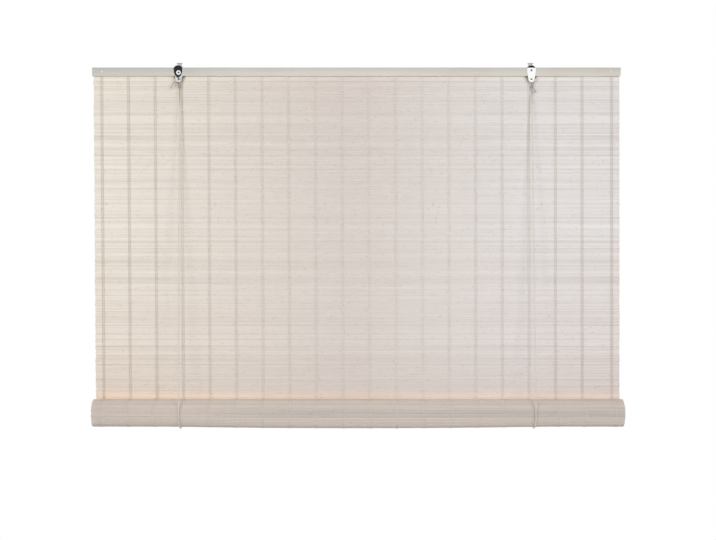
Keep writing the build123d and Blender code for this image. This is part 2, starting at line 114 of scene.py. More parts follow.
# %% Camera
PICTURE_WIDTH = 716
FOCAL_PIXELS = 1249
SENSOR = 36.0
CAMERA_DISTANCE = 3.56
CAMERA_X = 8.5 * MM
CAMERA_Z = -0.5823
camera_data = bpy.data.cameras.new("camera")
camera_data.sensor_width = SENSOR
camera_data.lens = FOCAL_PIXELS * SENSOR / PICTURE_WIDTH
camera = bpy.data.objects.new("camera", camera_data)
camera.location = (CAMERA_X, panel_low.y - CAMERA_DISTANCE, CAMERA_Z)
camera.rotation_euler = (math.radians(90), 0, 0)
bpy.context.scene.collection.objects.link(camera)
bpy.context.scene.camera = camera
bpy.context.scene.view_settings.view_transform = "Standard"
pixel = CAMERA_DISTANCE / FOCAL_PIXELS / MM
print("lens", round(camera_data.lens, 2), "mm; one pixel is", round(pixel, 3), "mm")

# %% [markdown]
# ## Light, floor and background
# The picture is a cut-out on white. The world is white for the eye and for reflections,
# and plainer for the light that it sheds. The Light Path node tells these rays apart, so
# the background stays white without more light falling on the blind.

# %% Helpers: a node and a wire
def node(tree, kind, **values):
    made = tree.nodes.new(kind)
    for name, value in values.items():
        setattr(made, name, value)
    return made


def wire(tree, source, target):
    tree.links.new(source, target)


# %% World
WORLD_LIGHT = 0.2


def make_world():
    world = bpy.data.worlds.new("studio")
    world.use_nodes = True
    tree = world.node_tree
    tree.nodes.clear()
    output = node(tree, "ShaderNodeOutputWorld")
    shed = node(tree, "ShaderNodeBackground")
    shed.inputs["Color"].default_value = (1.0, 0.985, 0.965, 1)
    shed.inputs["Strength"].default_value = WORLD_LIGHT
    seen = node(tree, "ShaderNodeBackground")
    seen.inputs["Color"].default_value = (1, 1, 1, 1)
    path = node(tree, "ShaderNodeLightPath")
    either = node(tree, "ShaderNodeMath", operation="MAXIMUM")
    every = node(tree, "ShaderNodeMath", operation="MAXIMUM")
    mix = node(tree, "ShaderNodeMixShader")
    wire(tree, path.outputs["Is Camera Ray"], either.inputs[0])
    wire(tree, path.outputs["Is Glossy Ray"], either.inputs[1])
    wire(tree, either.outputs[0], every.inputs[0])
    wire(tree, path.outputs["Is Transmission Ray"], every.inputs[1])
    wire(tree, every.outputs[0], mix.inputs[0])
    wire(tree, shed.outputs[0], mix.inputs[1])
    wire(tree, seen.outputs[0], mix.inputs[2])
    wire(tree, mix.outputs[0], output.inputs["Surface"])
    bpy.context.scene.world = world


make_world()
print("world light", WORLD_LIGHT)

# %% [markdown]
# The floor is a sheet of pale paper that fades out towards its rim, so that it carries a
# soft shadow and has no edge. It is declared as stage, because it isn't part of the blind.

# %% Floor
FLOOR_Z = -1.95
FLOOR_REACH = 2.2
FADE_START, FADE_END = 0.45 * FLOOR_REACH, 0.98 * FLOOR_REACH


def make_floor_paper():
    material = bpy.data.materials.new("floor_paper")
    material.use_nodes = True
    tree = material.node_tree
    tree.nodes.clear()
    output = node(tree, "ShaderNodeOutputMaterial")
    place = node(tree, "ShaderNodeTexCoord")
    span = node(tree, "ShaderNodeVectorMath", operation="LENGTH")
    flat = node(tree, "ShaderNodeVectorMath", operation="MULTIPLY")
    flat.inputs[1].default_value = (1, 1, 0)
    fade = node(tree, "ShaderNodeMapRange")
    fade.inputs["From Min"].default_value = FADE_START
    fade.inputs["From Max"].default_value = FADE_END
    paper = node(tree, "ShaderNodeBsdfDiffuse")
    paper.inputs["Color"].default_value = (0.86, 0.855, 0.845, 1)
    clear = node(tree, "ShaderNodeBsdfTransparent")
    mix = node(tree, "ShaderNodeMixShader")
    wire(tree, place.outputs["Object"], flat.inputs[0])
    wire(tree, flat.outputs[0], span.inputs[0])
    wire(tree, span.outputs["Value"], fade.inputs["Value"])
    wire(tree, fade.outputs["Result"], mix.inputs[0])
    wire(tree, paper.outputs[0], mix.inputs[1])
    wire(tree, clear.outputs[0], mix.inputs[2])
    wire(tree, mix.outputs[0], output.inputs["Surface"])
    return material


def make_floor():
    mesh = bpy.data.meshes.new("floor")
    corners = [(-1, -1), (1, -1), (1, 1), (-1, 1)]
    places = [(x * FLOOR_REACH, y * FLOOR_REACH, FLOOR_Z) for x, y in corners]
    mesh.from_pydata(places, [], [(0, 1, 2, 3)])
    mesh.materials.append(make_floor_paper())
    floor = bpy.data.objects.new("floor", mesh)
    bpy.context.scene.collection.objects.link(floor)
    floor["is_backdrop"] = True


make_floor()
print("floor at", FLOOR_Z, "m")

# %% [markdown]
# The light comes mostly from lamps on both sides of the camera, so there is hardly a
# shadow under the rail or above the roll. The lamps don't show in reflections: the plates
# mirror only the white world, and their faces don't burn out. A lamp behind the blind
# keeps its back from going dull in the views from there.

# %% Lamps
LAMPS = {
    "left_lamp": ((-2.1, -3.3, 0.1), (-0.4, 0, -0.5), 1.2, 55.5),
    "right_lamp": ((2.1, -3.3, 0.1), (0.4, 0, -0.5), 1.2, 55.5),
    "front_lamp": ((0, -3.6, -0.5), (0, 0, -0.5), 1.2, 18.5),
    "low_lamp": ((0, -2.6, -2.2), (0, 0, -0.6), 1.6, 4.0),
    "top_lamp": ((0, -2.4, 1.6), (0, 0, -0.5), 1.6, 4.0),
    "back_lamp": ((0, 3.3, 0.2), (0, 0, -0.5), 1.6, 30.0),
}


def add_lamp(name, place, aim, size, power):
    data = bpy.data.lights.new(name, "AREA")
    data.size = size
    data.energy = power
    lamp = bpy.data.objects.new(name, data)
    lamp.location = place
    lamp.rotation_mode = "QUATERNION"
    way = Vector(aim) - Vector(place)
    lamp.rotation_quaternion = way.to_track_quat("-Z", "Y")
    lamp.visible_glossy = False
    bpy.context.scene.collection.objects.link(lamp)


for lamp_name, settings in LAMPS.items():
    add_lamp(lamp_name, *settings)
print("lamps:", len(LAMPS), "with", sum(settings[3] for settings in LAMPS.values()), "W in all")

# %% [markdown]
# ## Shader helpers
# Shared shader effects are node groups. Each gives only a colour, a mask or a height,
# and the surface itself is set up in the material that uses it. The helpers below save
# writing out the sockets: each makes one node and returns its output.

# %% Helpers: node groups
FLOAT, COLOUR, VECTOR = "NodeSocketFloat", "NodeSocketColor", "NodeSocketVector"
WHITE = (1, 1, 1, 1)


def new_group(name, inputs, outputs, kind="ShaderNodeTree"):
    """A node group with named sockets; inputs are (name, type, value)."""
    group = bpy.data.node_groups.new(name, kind)
    for title, sort, value in inputs:
        made = group.interface.new_socket(title, in_out="INPUT", socket_type=sort)
        if value is not None:
            made.default_value = value
    for title, sort in outputs:
        group.interface.new_socket(title, in_out="OUTPUT", socket_type=sort)
    entry = group.nodes.new("NodeGroupInput")
    leave = group.nodes.new("NodeGroupOutput")
    return group, entry.outputs, leave.inputs


def used(tree, group, **inputs):
    """A group placed in a tree; an input is named with _ for a space, and colours are (r, g, b)."""
    made = node(tree, "ShaderNodeGroup")
    made.node_tree = group
    for name, value in inputs.items():
        slot = made.inputs[name.replace("_", " ")]
        if isinstance(value, (int, float)):
            slot.default_value = value
        elif isinstance(value, tuple):
            slot.default_value = (*value, 1)
        else:
            wire(tree, value, slot)
    return made.outputs


# %% Helpers: numbers
def maths(tree, operation, a, b=None, c=None):
    """One Math node; a, b and c are sockets or numbers."""
    made = node(tree, "ShaderNodeMath", operation=operation)
    for slot, value in zip(made.inputs, (a, b, c)):
        if value is None:
            continue
        if isinstance(value, (int, float)):
            slot.default_value = value
        else:
            wire(tree, value, slot)
    return made.outputs[0]


def times(tree, a, b):
    return maths(tree, "MULTIPLY", a, b)


def noise(tree, vector, scale, detail=3.0, rough=0.5):
    made = node(tree, "ShaderNodeTexNoise")
    made.inputs["Scale"].default_value = scale
    made.inputs["Detail"].default_value = detail
    made.inputs["Roughness"].default_value = rough
    if vector is not None:
        wire(tree, vector, made.inputs["Vector"])
    return made.outputs["Fac"]


def ranged(tree, value, low, high, to_low=0.0, to_high=1.0):
    made = node(tree, "ShaderNodeMapRange")
    wire(tree, value, made.inputs["Value"])
    for name, number in (
        ("From Min", low), ("From Max", high), ("To Min", to_low), ("To Max", to_high)
    ):
        made.inputs[name].default_value = number
    return made.outputs["Result"]


# %% Helpers: vectors and colours
def joined(tree, x, y, z):
    made = node(tree, "ShaderNodeCombineXYZ")
    for slot, value in zip(made.inputs, (x, y, z)):
        if isinstance(value, (int, float)):
            slot.default_value = value
        else:
            wire(tree, value, slot)
    return made.outputs[0]


def parts_of(tree, vector):
    split = node(tree, "ShaderNodeSeparateXYZ")
    wire(tree, vector, split.inputs[0])
    return split.outputs


def blended(tree, share, low, high):
    """A colour between two, by share; low and high are sockets or colours."""
    made = node(tree, "ShaderNodeMix", data_type="RGBA")
    for slot, value in ((made.inputs[0], share), (made.inputs[6], low), (made.inputs[7], high)):
        if isinstance(value, (int, float)):
            slot.default_value = value
        elif isinstance(value, tuple):
            slot.default_value = (*value, 1)
        else:
            wire(tree, value, slot)
    return made.outputs[2]


def tinted(tree, colour, tint):
    """A colour times a tint, which may be brighter than white."""
    made = node(tree, "ShaderNodeMix", data_type="RGBA", blend_type="MULTIPLY")
    made.inputs[0].default_value = 1.0
    wire(tree, colour, made.inputs[6])
    if isinstance(tint, tuple):
        made.inputs[7].default_value = (*tint, 1)
    else:
        wire(tree, tint, made.inputs[7])
    return made.outputs[2]


# %% [markdown]
# ## The grain of a slat
# Split bamboo has fine streaks along its length, a ring where each joint of the cane was,
# and a tone that drifts slowly. The slat's own random number shifts all three, so that no
# two slats are alike.

# %% Group: slat grain
SEED_STEP = 173.0
JOINT_STEP = 57.0
DRIFTS_PER_METRE = 3.2
STREAK_STRETCH, STREAK_FINENESS = 42.0, 2600.0
JOINT_WIDTH = 0.012


def make_grain_group():
    """Streaks along a slat, the rings where its joints were, and its own tone."""
    group, come, go = new_group(
        "slat_grain",
        [("Place", VECTOR, None), ("Seed", FLOAT, 0.5), ("Joint Spacing", FLOAT, 0.31)],
        [("Tone", FLOAT), ("Streak", FLOAT), ("Joint", FLOAT), ("Height", FLOAT)],
    )
    x, y, z = parts_of(group, come["Place"])
    lift = times(group, come["Seed"], SEED_STEP)
    tone = noise(group, joined(group, times(group, x, DRIFTS_PER_METRE), lift, 0.0), 1.0, 2.0)
    fine_place = joined(
        group,
        times(group, x, STREAK_STRETCH),
        maths(group, "ADD", times(group, z, STREAK_FINENESS), lift),
        times(group, y, STREAK_FINENESS),
    )
    streak = noise(group, fine_place, 1.0, 4.0, 0.62)
    along = maths(group, "DIVIDE", x, come["Joint Spacing"])
    shifted = maths(group, "ADD", along, times(group, come["Seed"], JOINT_STEP))
    joint = ranged(group, maths(group, "PINGPONG", shifted, 0.5), 0.0, JOINT_WIDTH, 1.0, 0.0)
    height = maths(group, "ADD", times(group, streak, 0.4), joint)
    for title, value in (("Tone", tone), ("Streak", streak), ("Joint", joint), ("Height", height)):
        wire(group, value, go[title])
    return group


grain_group = make_grain_group()
print("slat grain:", len(grain_group.nodes), "nodes")

# %% [markdown]
# ## Painted light at the ends
# The mat is painted paler towards both ends, as painted light: warmer on the left and cooler
# on the right, and the outer parts get a little painted shade low down. The group gives this
# as a tint and says how near an end a point is, because the painted shade of the stitches and
# the contrast between the slats, as painted raking light, also grow there.

# %% Group: painted light at the ends
LOW_SHADE_TINT = (0.955, 0.91, 0.90)
LEFT_FROM, LEFT_TO = -0.06, -0.72
RIGHT_FROM, RIGHT_TO = 0.02, 0.5
LOW_FROM, LOW_TO = -0.45, -0.93


def make_end_light_group():
    """Painted light towards the mat's ends, warmer on the left and cooler on the right, with painted shade
    low down.
    """
    group, come, go = new_group(
        "painted_end_light",
        [("Place", VECTOR, None), ("Left", COLOUR, WHITE), ("Right", COLOUR, WHITE)],
        [("Tint", COLOUR), ("Ends", FLOAT)],
    )
    x, _, z = parts_of(group, come["Place"])
    left = ranged(group, x, LEFT_FROM, LEFT_TO)
    tint = blended(group, left, (1, 1, 1), come["Left"])
    tint = blended(group, ranged(group, x, RIGHT_FROM, RIGHT_TO), tint, come["Right"])
    low = ranged(group, z, LOW_FROM, LOW_TO)
    outer = maths(group, "MAXIMUM", left, ranged(group, x, 0.1, 0.6))
    # Painted shade low down at the outer parts.
    tint = blended(group, times(group, low, outer), tint, tinted(group, tint, LOW_SHADE_TINT))
    wire(group, tint, go["Tint"])
    wire(group, maths(group, "MAXIMUM", left, ranged(group, x, 0.2, 0.75)), go["Ends"])
    return group


end_light_group = make_end_light_group()
print("room tint:", len(end_light_group.nodes), "nodes")

# %% [markdown]
# ## Limed timber
# The rail and the battens are planed softwood under a thin lime wash: long grain lines
# that wander a little, and broad patches where the wash took differently.

# %% Group: limed timber
def make_timber_group():
    """Long grain lines and broad patches of limed timber that runs along X."""
    group, come, go = new_group(
        "limed_timber",
        [("Place", VECTOR, None), ("Grain", FLOAT, 900.0)],
        [("Line", FLOAT), ("Patch", FLOAT), ("Height", FLOAT)],
    )
    x, y, z = parts_of(group, come["Place"])
    wander = noise(group, joined(group, times(group, x, 2.5), 0.0, 0.0), 1.0, 2.0)
    across = maths(group, "ADD", z, times(group, wander, 0.01))
    lines = joined(
        group,
        times(group, x, 7.0),
        times(group, y, come["Grain"]),
        times(group, across, come["Grain"]),
    )
    line = ranged(group, noise(group, lines, 1.0, 5.0, 0.6), 0.35, 0.7)
    patch = noise(group, joined(group, times(group, x, 5.0), y, z), 1.0, 3.0)
    for title, value in (("Line", line), ("Patch", patch), ("Height", line)):
        wire(group, value, go[title])
    return group


timber_group = make_timber_group()
print("limed timber:", len(timber_group.nodes), "nodes")

# %% [markdown]
# ## Worn metal
# The plates are stamped from brushed strip. Fine scratches run down them and roughen the
# shine, and cloudy stains dull it.

# %% Group: metal wear
def make_wear_group():
    """Fine scratches and cloudy stains for metal."""
    group, come, go = new_group(
        "metal_wear",
        [("Place", VECTOR, None), ("Scratch", FLOAT, 900.0)],
        [("Scratches", FLOAT), ("Stain", FLOAT)],
    )
    x, y, z = parts_of(group, come["Place"])
    brushed = joined(
        group,
        times(group, x, come["Scratch"]),
        times(group, y, come["Scratch"]),
        times(group, z, 60.0),
    )
    wire(group, noise(group, brushed, 1.0, 3.0, 0.6), go["Scratches"])
    wire(group, noise(group, come["Place"], 210.0, 4.0, 0.6), go["Stain"])
    return group


wear_group = make_wear_group()
print("metal wear:", len(wear_group.nodes), "nodes")

# %% [markdown]
# ## Braid
# A lift cord is braided from strands that cross both ways round. Its UV map holds the
# distance along the cord and the turn round it, so two slanting zigzags give the strands,
# and they follow every bend.

# %% Group: braid
def make_braid_group():
    """Two crossing sets of strands round a cord, from its length and its turn."""
    group, come, go = new_group(
        "braid",
        [("Wrap", VECTOR, None), ("Strands", FLOAT, 4.0), ("Stitch Length", FLOAT, 0.0042)],
        [("Height", FLOAT), ("Shade", FLOAT)],
    )
    length, turn, _ = parts_of(group, come["Wrap"])
    along = maths(group, "DIVIDE", length, come["Stitch Length"])
    turn = times(group, turn, come["Strands"])
    ways = []
    for operation in ("ADD", "SUBTRACT"):
        phase = maths(group, operation, along, turn)
        ways.append(maths(group, "PINGPONG", phase, 0.5))
    height = times(group, maths(group, "MINIMUM", *ways), 2.0)
    wire(group, height, go["Height"])
    wire(group, ranged(group, height, 0.0, 0.35), go["Shade"])
    return group


braid_group = make_braid_group()
print("shader groups:", len(bpy.data.node_groups))

# %% [markdown]
# ## Materials
# Colours are written as the 0 to 255 values that a screen shows and turned into the
# linear numbers that the shaders want. Every material is a Principled BSDF, and every
# pattern reads Object coordinates, an attribute or a UV map of its own piece.

# %% Helpers: materials
def srgb(red, green, blue):
    """Linear colour from the 0 to 255 values that a screen shows."""
    values = []
    for value in (red, green, blue):
        share = value / 255
        values.append(share / 12.92 if share <= 0.04045 else ((share + 0.055) / 1.055) ** 2.4)
    return tuple(values)


def new_material(name):
    material = bpy.data.materials.new(name)
    material.use_nodes = True
    tree = material.node_tree
    surface = tree.nodes["Principled BSDF"]
    return material, tree, surface


def bumped(tree, surface, height, strength, distance):
    bump = node(tree, "ShaderNodeBump")
    bump.inputs["Strength"].default_value = strength
    bump.inputs["Distance"].default_value = distance
    wire(tree, height, bump.inputs["Height"])
    wire(tree, bump.outputs[0], surface.inputs["Normal"])


def object_place(tree):
    return node(tree, "ShaderNodeTexCoord").outputs["Object"]


def attribute(tree, name):
    return node(tree, "ShaderNodeAttribute", attribute_name=name).outputs["Fac"]


# %% [markdown]
# ### Slats
# The slats show their skin on the flat stretch and their backs on the roll, which is
# a little darker and more even. Each slat is pale, mean or dark by its own random number
# and by the drift along it. Both materials share that part.

# %% Colours and tone of the slats
SLAT_PALE = srgb(231, 224, 217)
SLAT_MEAN = srgb(220, 211, 205)
SLAT_DARK = srgb(205, 195, 187)
SLAT_STREAK = srgb(189, 173, 160)
SLAT_JOINT = srgb(178, 156, 136)
BACK_PALE = srgb(227, 218, 210)
BACK_MEAN = srgb(213, 202, 193)
BACK_DARK = srgb(197, 184, 173)
OWN_SHARE, DRIFT_SHARE, TONE_REACH = 0.9, 0.6, 0.6
STREAK_SHARE, JOINT_SHARE = 0.3, 0.35


def toned(tree, grain, seed, strength, pale, mean, dark):
    """The slat's colour from its own number and its drift, with streaks and joint rings."""
    own = ranged(tree, seed, 0.0, 1.0, -0.5, 0.5)
    drift = ranged(tree, grain["Tone"], 0.25, 0.75, -0.5, 0.5)
    mixed = maths(tree, "ADD", times(tree, own, OWN_SHARE), times(tree, drift, DRIFT_SHARE))
    mixed = times(tree, mixed, strength)
    colour = blended(tree, ranged(tree, mixed, 0.0, TONE_REACH), mean, pale)
    colour = blended(tree, ranged(tree, mixed, 0.0, -TONE_REACH), colour, dark)
    streaks = ranged(tree, grain["Streak"], 0.5, 0.75, 0.0, STREAK_SHARE)
    colour = blended(tree, streaks, colour, SLAT_STREAK)
    joints = times(tree, grain["Joint"], JOINT_SHARE)
    return blended(tree, joints, colour, SLAT_JOINT)


def slat_surface(tree, surface, colour, grain):
    wire(tree, colour, surface.inputs["Base Color"])
    surface.inputs["Roughness"].default_value = 0.62
    surface.inputs["Specular IOR Level"].default_value = 0.3
    bumped(tree, surface, grain["Height"], 0.5, 0.0003)


print("slat colours, linear:", [round(value, 3) for value in SLAT_MEAN])

# %% [markdown]
# The flat stretch has three marks of its own. The top slats are painted paler, as painted
# light under the rail, with a thin darker line below them. The slats just above the roll get
# painted warm light, bounced from the roll, on the room's side only. Painted shade gives a
# darker band across the slats at each row of stitches. The marks read the height at which a
# point hangs at rest, kept as an attribute, so they stay on their slats when the mat is raised
# or lowered.

# %% Material: slats of the flat stretch
# Painted light at the mat's ends: warmer on the left, cooler on the right.
LEFT_LIGHT_TINT = (1.17, 1.195, 1.145)
RIGHT_LIGHT_TINT = (1.09, 1.145, 1.20)
STITCH_SHADE_TINT = (0.90, 0.885, 0.87)
BOUNCE_LIGHT_TINT = (1.16, 1.08, 1.01)
STITCH_WIDTH = 5.5 * MM
PALE_TO, LINE_TO, EDGE_SOFTNESS = -0.0435, -0.0485, 1 * MM
WARM_FROM, WARM_TO = -0.912, -0.942


def top_and_foot(tree, colour, y, height, pale):
    """Painted light on the top slats with a darker line under them, and painted bounce light on the slats
    above the roll.
    """
    above = ranged(tree, height, PALE_TO, PALE_TO + EDGE_SOFTNESS)
    under = ranged(tree, height, LINE_TO, LINE_TO + EDGE_SOFTNESS)
    line = maths(tree, "SUBTRACT", under, above)
    colour = blended(tree, times(tree, line, 0.35), colour, SLAT_STREAK)
    # Painted light on the top slats, under the rail.
    colour = blended(tree, times(tree, above, 0.22), colour, pale)
    # Painted warm light bounced from the roll.
    near_roll = ranged(tree, height, WARM_FROM, WARM_TO)
    room_side = ranged(tree, y, MAT_Y + 0.4 * MM, MAT_Y - 0.2 * MM)
    near_roll = times(tree, near_roll, room_side)
    return blended(tree, near_roll, colour, tinted(tree, colour, BOUNCE_LIGHT_TINT))


def stitch_shade_bands(tree, colour, ends):
    """Painted shade in bands where the stitches cross the slats, mostly near the mat's ends."""
    along = attribute(tree, "along")
    is_last = maths(tree, "GREATER_THAN", along, FIRST_ROW + (ROW_COUNT - 1.5) * ROW_PITCH)
    start = maths(tree, "ADD", FIRST_ROW, times(tree, is_last, LAST_SHIFT))
    row = maths(tree, "DIVIDE", maths(tree, "SUBTRACT", along, start), ROW_PITCH)
    off = times(tree, maths(tree, "PINGPONG", row, 0.5), ROW_PITCH)
    # Painted shade at each row of stitches.
    stitch_shade = ranged(tree, off, STITCH_WIDTH * 0.4, STITCH_WIDTH * 0.9, 1.0, 0.0)
    stitch_shade = times(tree, stitch_shade, ends)
    return blended(tree, stitch_shade, colour, tinted(tree, colour, STITCH_SHADE_TINT))


def make_flat_slat_material():
    material, tree, surface = new_material("slat_bamboo")
    x, y, _ = parts_of(tree, object_place(tree))
    height = attribute(tree, "rest_height")
    place = joined(tree, x, y, height)
    seed = attribute(tree, "slat_seed")
    grain = used(tree, grain_group, Place=place, Seed=seed)
    room = used(tree, end_light_group, Place=place, Left=LEFT_LIGHT_TINT, Right=RIGHT_LIGHT_TINT)
    # Painted raking light: the slats' differences in tone grow towards the ends.
    strength = ranged(tree, room["Ends"], 0.0, 1.0, 0.28, 0.8)
    colour = toned(tree, grain, seed, strength, SLAT_PALE, SLAT_MEAN, SLAT_DARK)
    colour = top_and_foot(tree, colour, y, height, SLAT_PALE)
    colour = tinted(tree, colour, room["Tint"])
    colour = stitch_shade_bands(tree, colour, room["Ends"])
    slat_surface(tree, surface, colour, grain)
    return material


slat_material = make_flat_slat_material()
print(slat_material.name, len(slat_material.node_tree.nodes), "nodes")

# %% [markdown]
# The roll is seen from its round side, and a cooler, darker band of painted shade runs
# along its middle, apart from the left end.

# %% Material: slats of the roll
SHADE_BAND_TINT = (0.885, 0.91, 0.935)
BAND_OUTER, BAND_INNER = 14 * MM, 6 * MM


def make_roll_slat_material():
    material, tree, surface = new_material("slat_backs")
    place = object_place(tree)
    x, _, height = parts_of(tree, place)
    seed = attribute(tree, "slat_seed")
    grain = used(tree, grain_group, Place=place, Seed=seed)
    colour = toned(tree, grain, seed, 0.6, BACK_PALE, BACK_MEAN, BACK_DARK)
    # Painted shade along the middle of the roll's front.
    far = maths(tree, "ABSOLUTE", maths(tree, "SUBTRACT", height, ROLL_Z))
    middle = times(tree, ranged(tree, far, BAND_OUTER, BAND_INNER), ranged(tree, x, -0.45, -0.2))
    colour = blended(tree, middle, colour, tinted(tree, colour, SHADE_BAND_TINT))
    slat_surface(tree, surface, colour, grain)
    return material


roll_material = make_roll_slat_material()
print(roll_material.name, len(roll_material.node_tree.nodes), "nodes")

# %% [markdown]
# ### Warp threads
# The threads are soft cotton: no shine, a little sheen, and fluff that is both colour
# They get painted shade towards the mat's ends, where they stand out more, and vary a little
# in patches.

# %% Materials: warp threads
FLUFF_TINT = (0.93, 0.93, 0.93)


def make_thread_material(name, pale, shade_and_patch_colour):
    material, tree, surface = new_material(name)
    place = object_place(tree)
    fluff = noise(tree, place, 900.0, 3.0)
    patch = noise(tree, place, 9.0, 2.0)
    ends = used(tree, end_light_group, Place=place)["Ends"]
    # Painted shade towards the ends, with patches of their own.
    ends_shade_and_patches = maths(tree, "ADD", ends, ranged(tree, patch, 0.35, 0.7, -0.12, 0.12))
    colour = blended(tree, ends_shade_and_patches, pale, shade_and_patch_colour)
    colour = blended(tree, fluff, tinted(tree, colour, FLUFF_TINT), colour)
    wire(tree, colour, surface.inputs["Base Color"])
    surface.inputs["Roughness"].default_value = 0.9
    surface.inputs["Specular IOR Level"].default_value = 0.1
    surface.inputs["Sheen Weight"].default_value = 0.25
    bumped(tree, surface, fluff, 0.6, 0.0002)
    return material


thread_material = make_thread_material("thread_cotton", srgb(228, 220, 214), srgb(211, 200, 189))
roll_thread = make_thread_material("thread_on_roll", srgb(224, 217, 210), srgb(222, 213, 204))
print("thread materials:", thread_material.name, roll_thread.name)

# %% [markdown]
# ### Rail and battens
# The rail is greyer along its upper half, which is painted shade, and paler on the lower
# edge, which is painted light taken back from the mat. Rail and battens also get painted
# shade towards their ends, most on the left.

# %% Materials: timber
TIMBER_LINE = srgb(170, 156, 142)
RAIL_LEFT_SHADE, RAIL_RIGHT_SHADE = (0.86, 0.90, 0.92), (0.955, 0.962, 0.95)
UPPER_SHADE_TINT, EDGE_LIGHT_TINT = (0.85, 0.87, 0.89), (1.35, 1.35, 1.35)
UPPER_FROM, UPPER_TO = -24 * MM, -7.5 * MM
EDGE_FROM, EDGE_TO = -29.2 * MM, -30.2 * MM


def make_timber_material(name, pale, dark, line_share):
    material, tree, surface = new_material(name)
    place = object_place(tree)
    timber = used(tree, timber_group, Place=place)
    room = used(tree, end_light_group, Place=place, Left=RAIL_LEFT_SHADE, Right=RAIL_RIGHT_SHADE)
    colour = blended(tree, ranged(tree, timber["Patch"], 0.3, 0.7), pale, dark)
    colour = blended(tree, times(tree, timber["Line"], line_share), colour, TIMBER_LINE)
    height = parts_of(tree, place)[2]
    # Painted shade on the upper half, painted light on the lower edge.
    upper = ranged(tree, height, UPPER_FROM, UPPER_TO)
    colour = blended(tree, upper, colour, tinted(tree, colour, UPPER_SHADE_TINT))
    edge = ranged(tree, height, EDGE_FROM, EDGE_TO)
    colour = blended(tree, edge, colour, tinted(tree, colour, EDGE_LIGHT_TINT))
    colour = tinted(tree, colour, room["Tint"])
    wire(tree, colour, surface.inputs["Base Color"])
    wire(tree, ranged(tree, timber["Line"], 0.0, 1.0, 0.5, 0.72), surface.inputs["Roughness"])
    surface.inputs["Specular IOR Level"].default_value = 0.35
    bumped(tree, surface, timber["Height"], 0.35, 0.0003)
    return material


rail_material = make_timber_material("limed_rail", srgb(222, 217, 209), srgb(214, 208, 200), 0.22)
batten_material = make_timber_material("limed_batten", srgb(222, 208, 190), srgb(206, 190, 170), 0.4)
print("timber materials:", rail_material.name, batten_material.name)

# %% [markdown]
# ### Metal
# The right plate is bright nickel. The left one, behind its black shield, is darkened in
# cloudy blotches, which is a painted dark reflection. One function makes them all from a
# clean and a stained colour. The black steel is painted, so it isn't metallic.

# %% Materials: metal
def make_metal_material(name, clean, stained, metallic, rough, stain_share, shine=0.5):
    material, tree, surface = new_material(name)
    surface.inputs["Specular IOR Level"].default_value = shine
    wear = used(tree, wear_group, Place=object_place(tree))
    stain = ranged(tree, wear["Stain"], 0.45, 0.75, 0.0, stain_share)
    wire(tree, blended(tree, stain, srgb(*clean), srgb(*stained)), surface.inputs["Base Color"])
    surface.inputs["Metallic"].default_value = metallic
    scratched = ranged(tree, wear["Scratches"], 0.3, 0.7, rough - 0.08, rough + 0.12)
    wire(tree, scratched, surface.inputs["Roughness"])
    bumped(tree, surface, wear["Scratches"], 0.12, 0.0001)
    return material


METALS = {
    "nickel_plate": ((252, 253, 252), (220, 219, 217), 1.0, 0.36, 0.3),
    # The left plate's nickel: a painted dark reflection in cloudy blotches.
    "nickel_dark_reflection": ((226, 226, 225), (104, 102, 100), 1.0, 0.38, 1.0),
    "satin_nickel": ((222, 221, 220), (190, 187, 183), 1.0, 0.5, 0.3),
    "black_steel": ((30, 30, 33), (60, 59, 58), 0.0, 0.5, 0.3, 0.25),
    "zinc_screw": ((104, 103, 102), (72, 70, 67), 1.0, 0.4, 0.5),
    "nail_steel": ((236, 230, 218), (160, 146, 130), 0.5, 0.42, 0.4),
    "wheel_brass": ((196, 182, 166), (150, 136, 118), 0.7, 0.5, 0.5),
}
metals = {name: make_metal_material(name, *settings) for name, settings in METALS.items()}
print("metal materials:", len(metals))

# %% [markdown]
# ### Cord
# The cord is off-white cotton braid, with painted shade between its strands. It darkens
# towards the top, over its knots and the stretch below the wheels.

# %% Material: braided cord
DARK_TOP_FROM, DARK_TOP_TO, DARK_TOP_SHARE = -0.13, -0.085, 0.75
DARK_TOP_TINT = (0.42, 0.38, 0.36)


def make_cord_material():
    material, tree, surface = new_material("cord_braid")
    wrap = node(tree, "ShaderNodeUVMap", uv_map="wrap").outputs[0]
    braid = used(tree, braid_group, Wrap=wrap)
    place = object_place(tree)
    dust = noise(tree, place, 35.0, 3.0)
    colour = blended(tree, dust, srgb(242, 237, 230), srgb(230, 223, 214))
    # Painted shade between the strands of the braid.
    colour = blended(tree, braid["Shade"], srgb(200, 188, 175), colour)
    height = parts_of(tree, place)[2]
    darker_top = ranged(tree, height, DARK_TOP_FROM, DARK_TOP_TO, 0.0, DARK_TOP_SHARE)
    colour = blended(tree, darker_top, colour, tinted(tree, colour, DARK_TOP_TINT))
    wire(tree, colour, surface.inputs["Base Color"])
    surface.inputs["Roughness"].default_value = 0.85
    surface.inputs["Specular IOR Level"].default_value = 0.15
    surface.inputs["Sheen Weight"].default_value = 0.3
    bumped(tree, surface, braid["Height"], 0.9, 0.0004)
    return material


cord_material = make_cord_material()
print("materials:", len(bpy.data.materials))

# %% [markdown]
# ## Geometry Nodes for the mat
# The slats repeat along one line: straight down the flat stretch, then round the roll.
# One Geometry Nodes tree lays them all along a bare curve, and the result is kept as a
# plain mesh. Laying them by hand would mean some 660 bars, each with its own place.

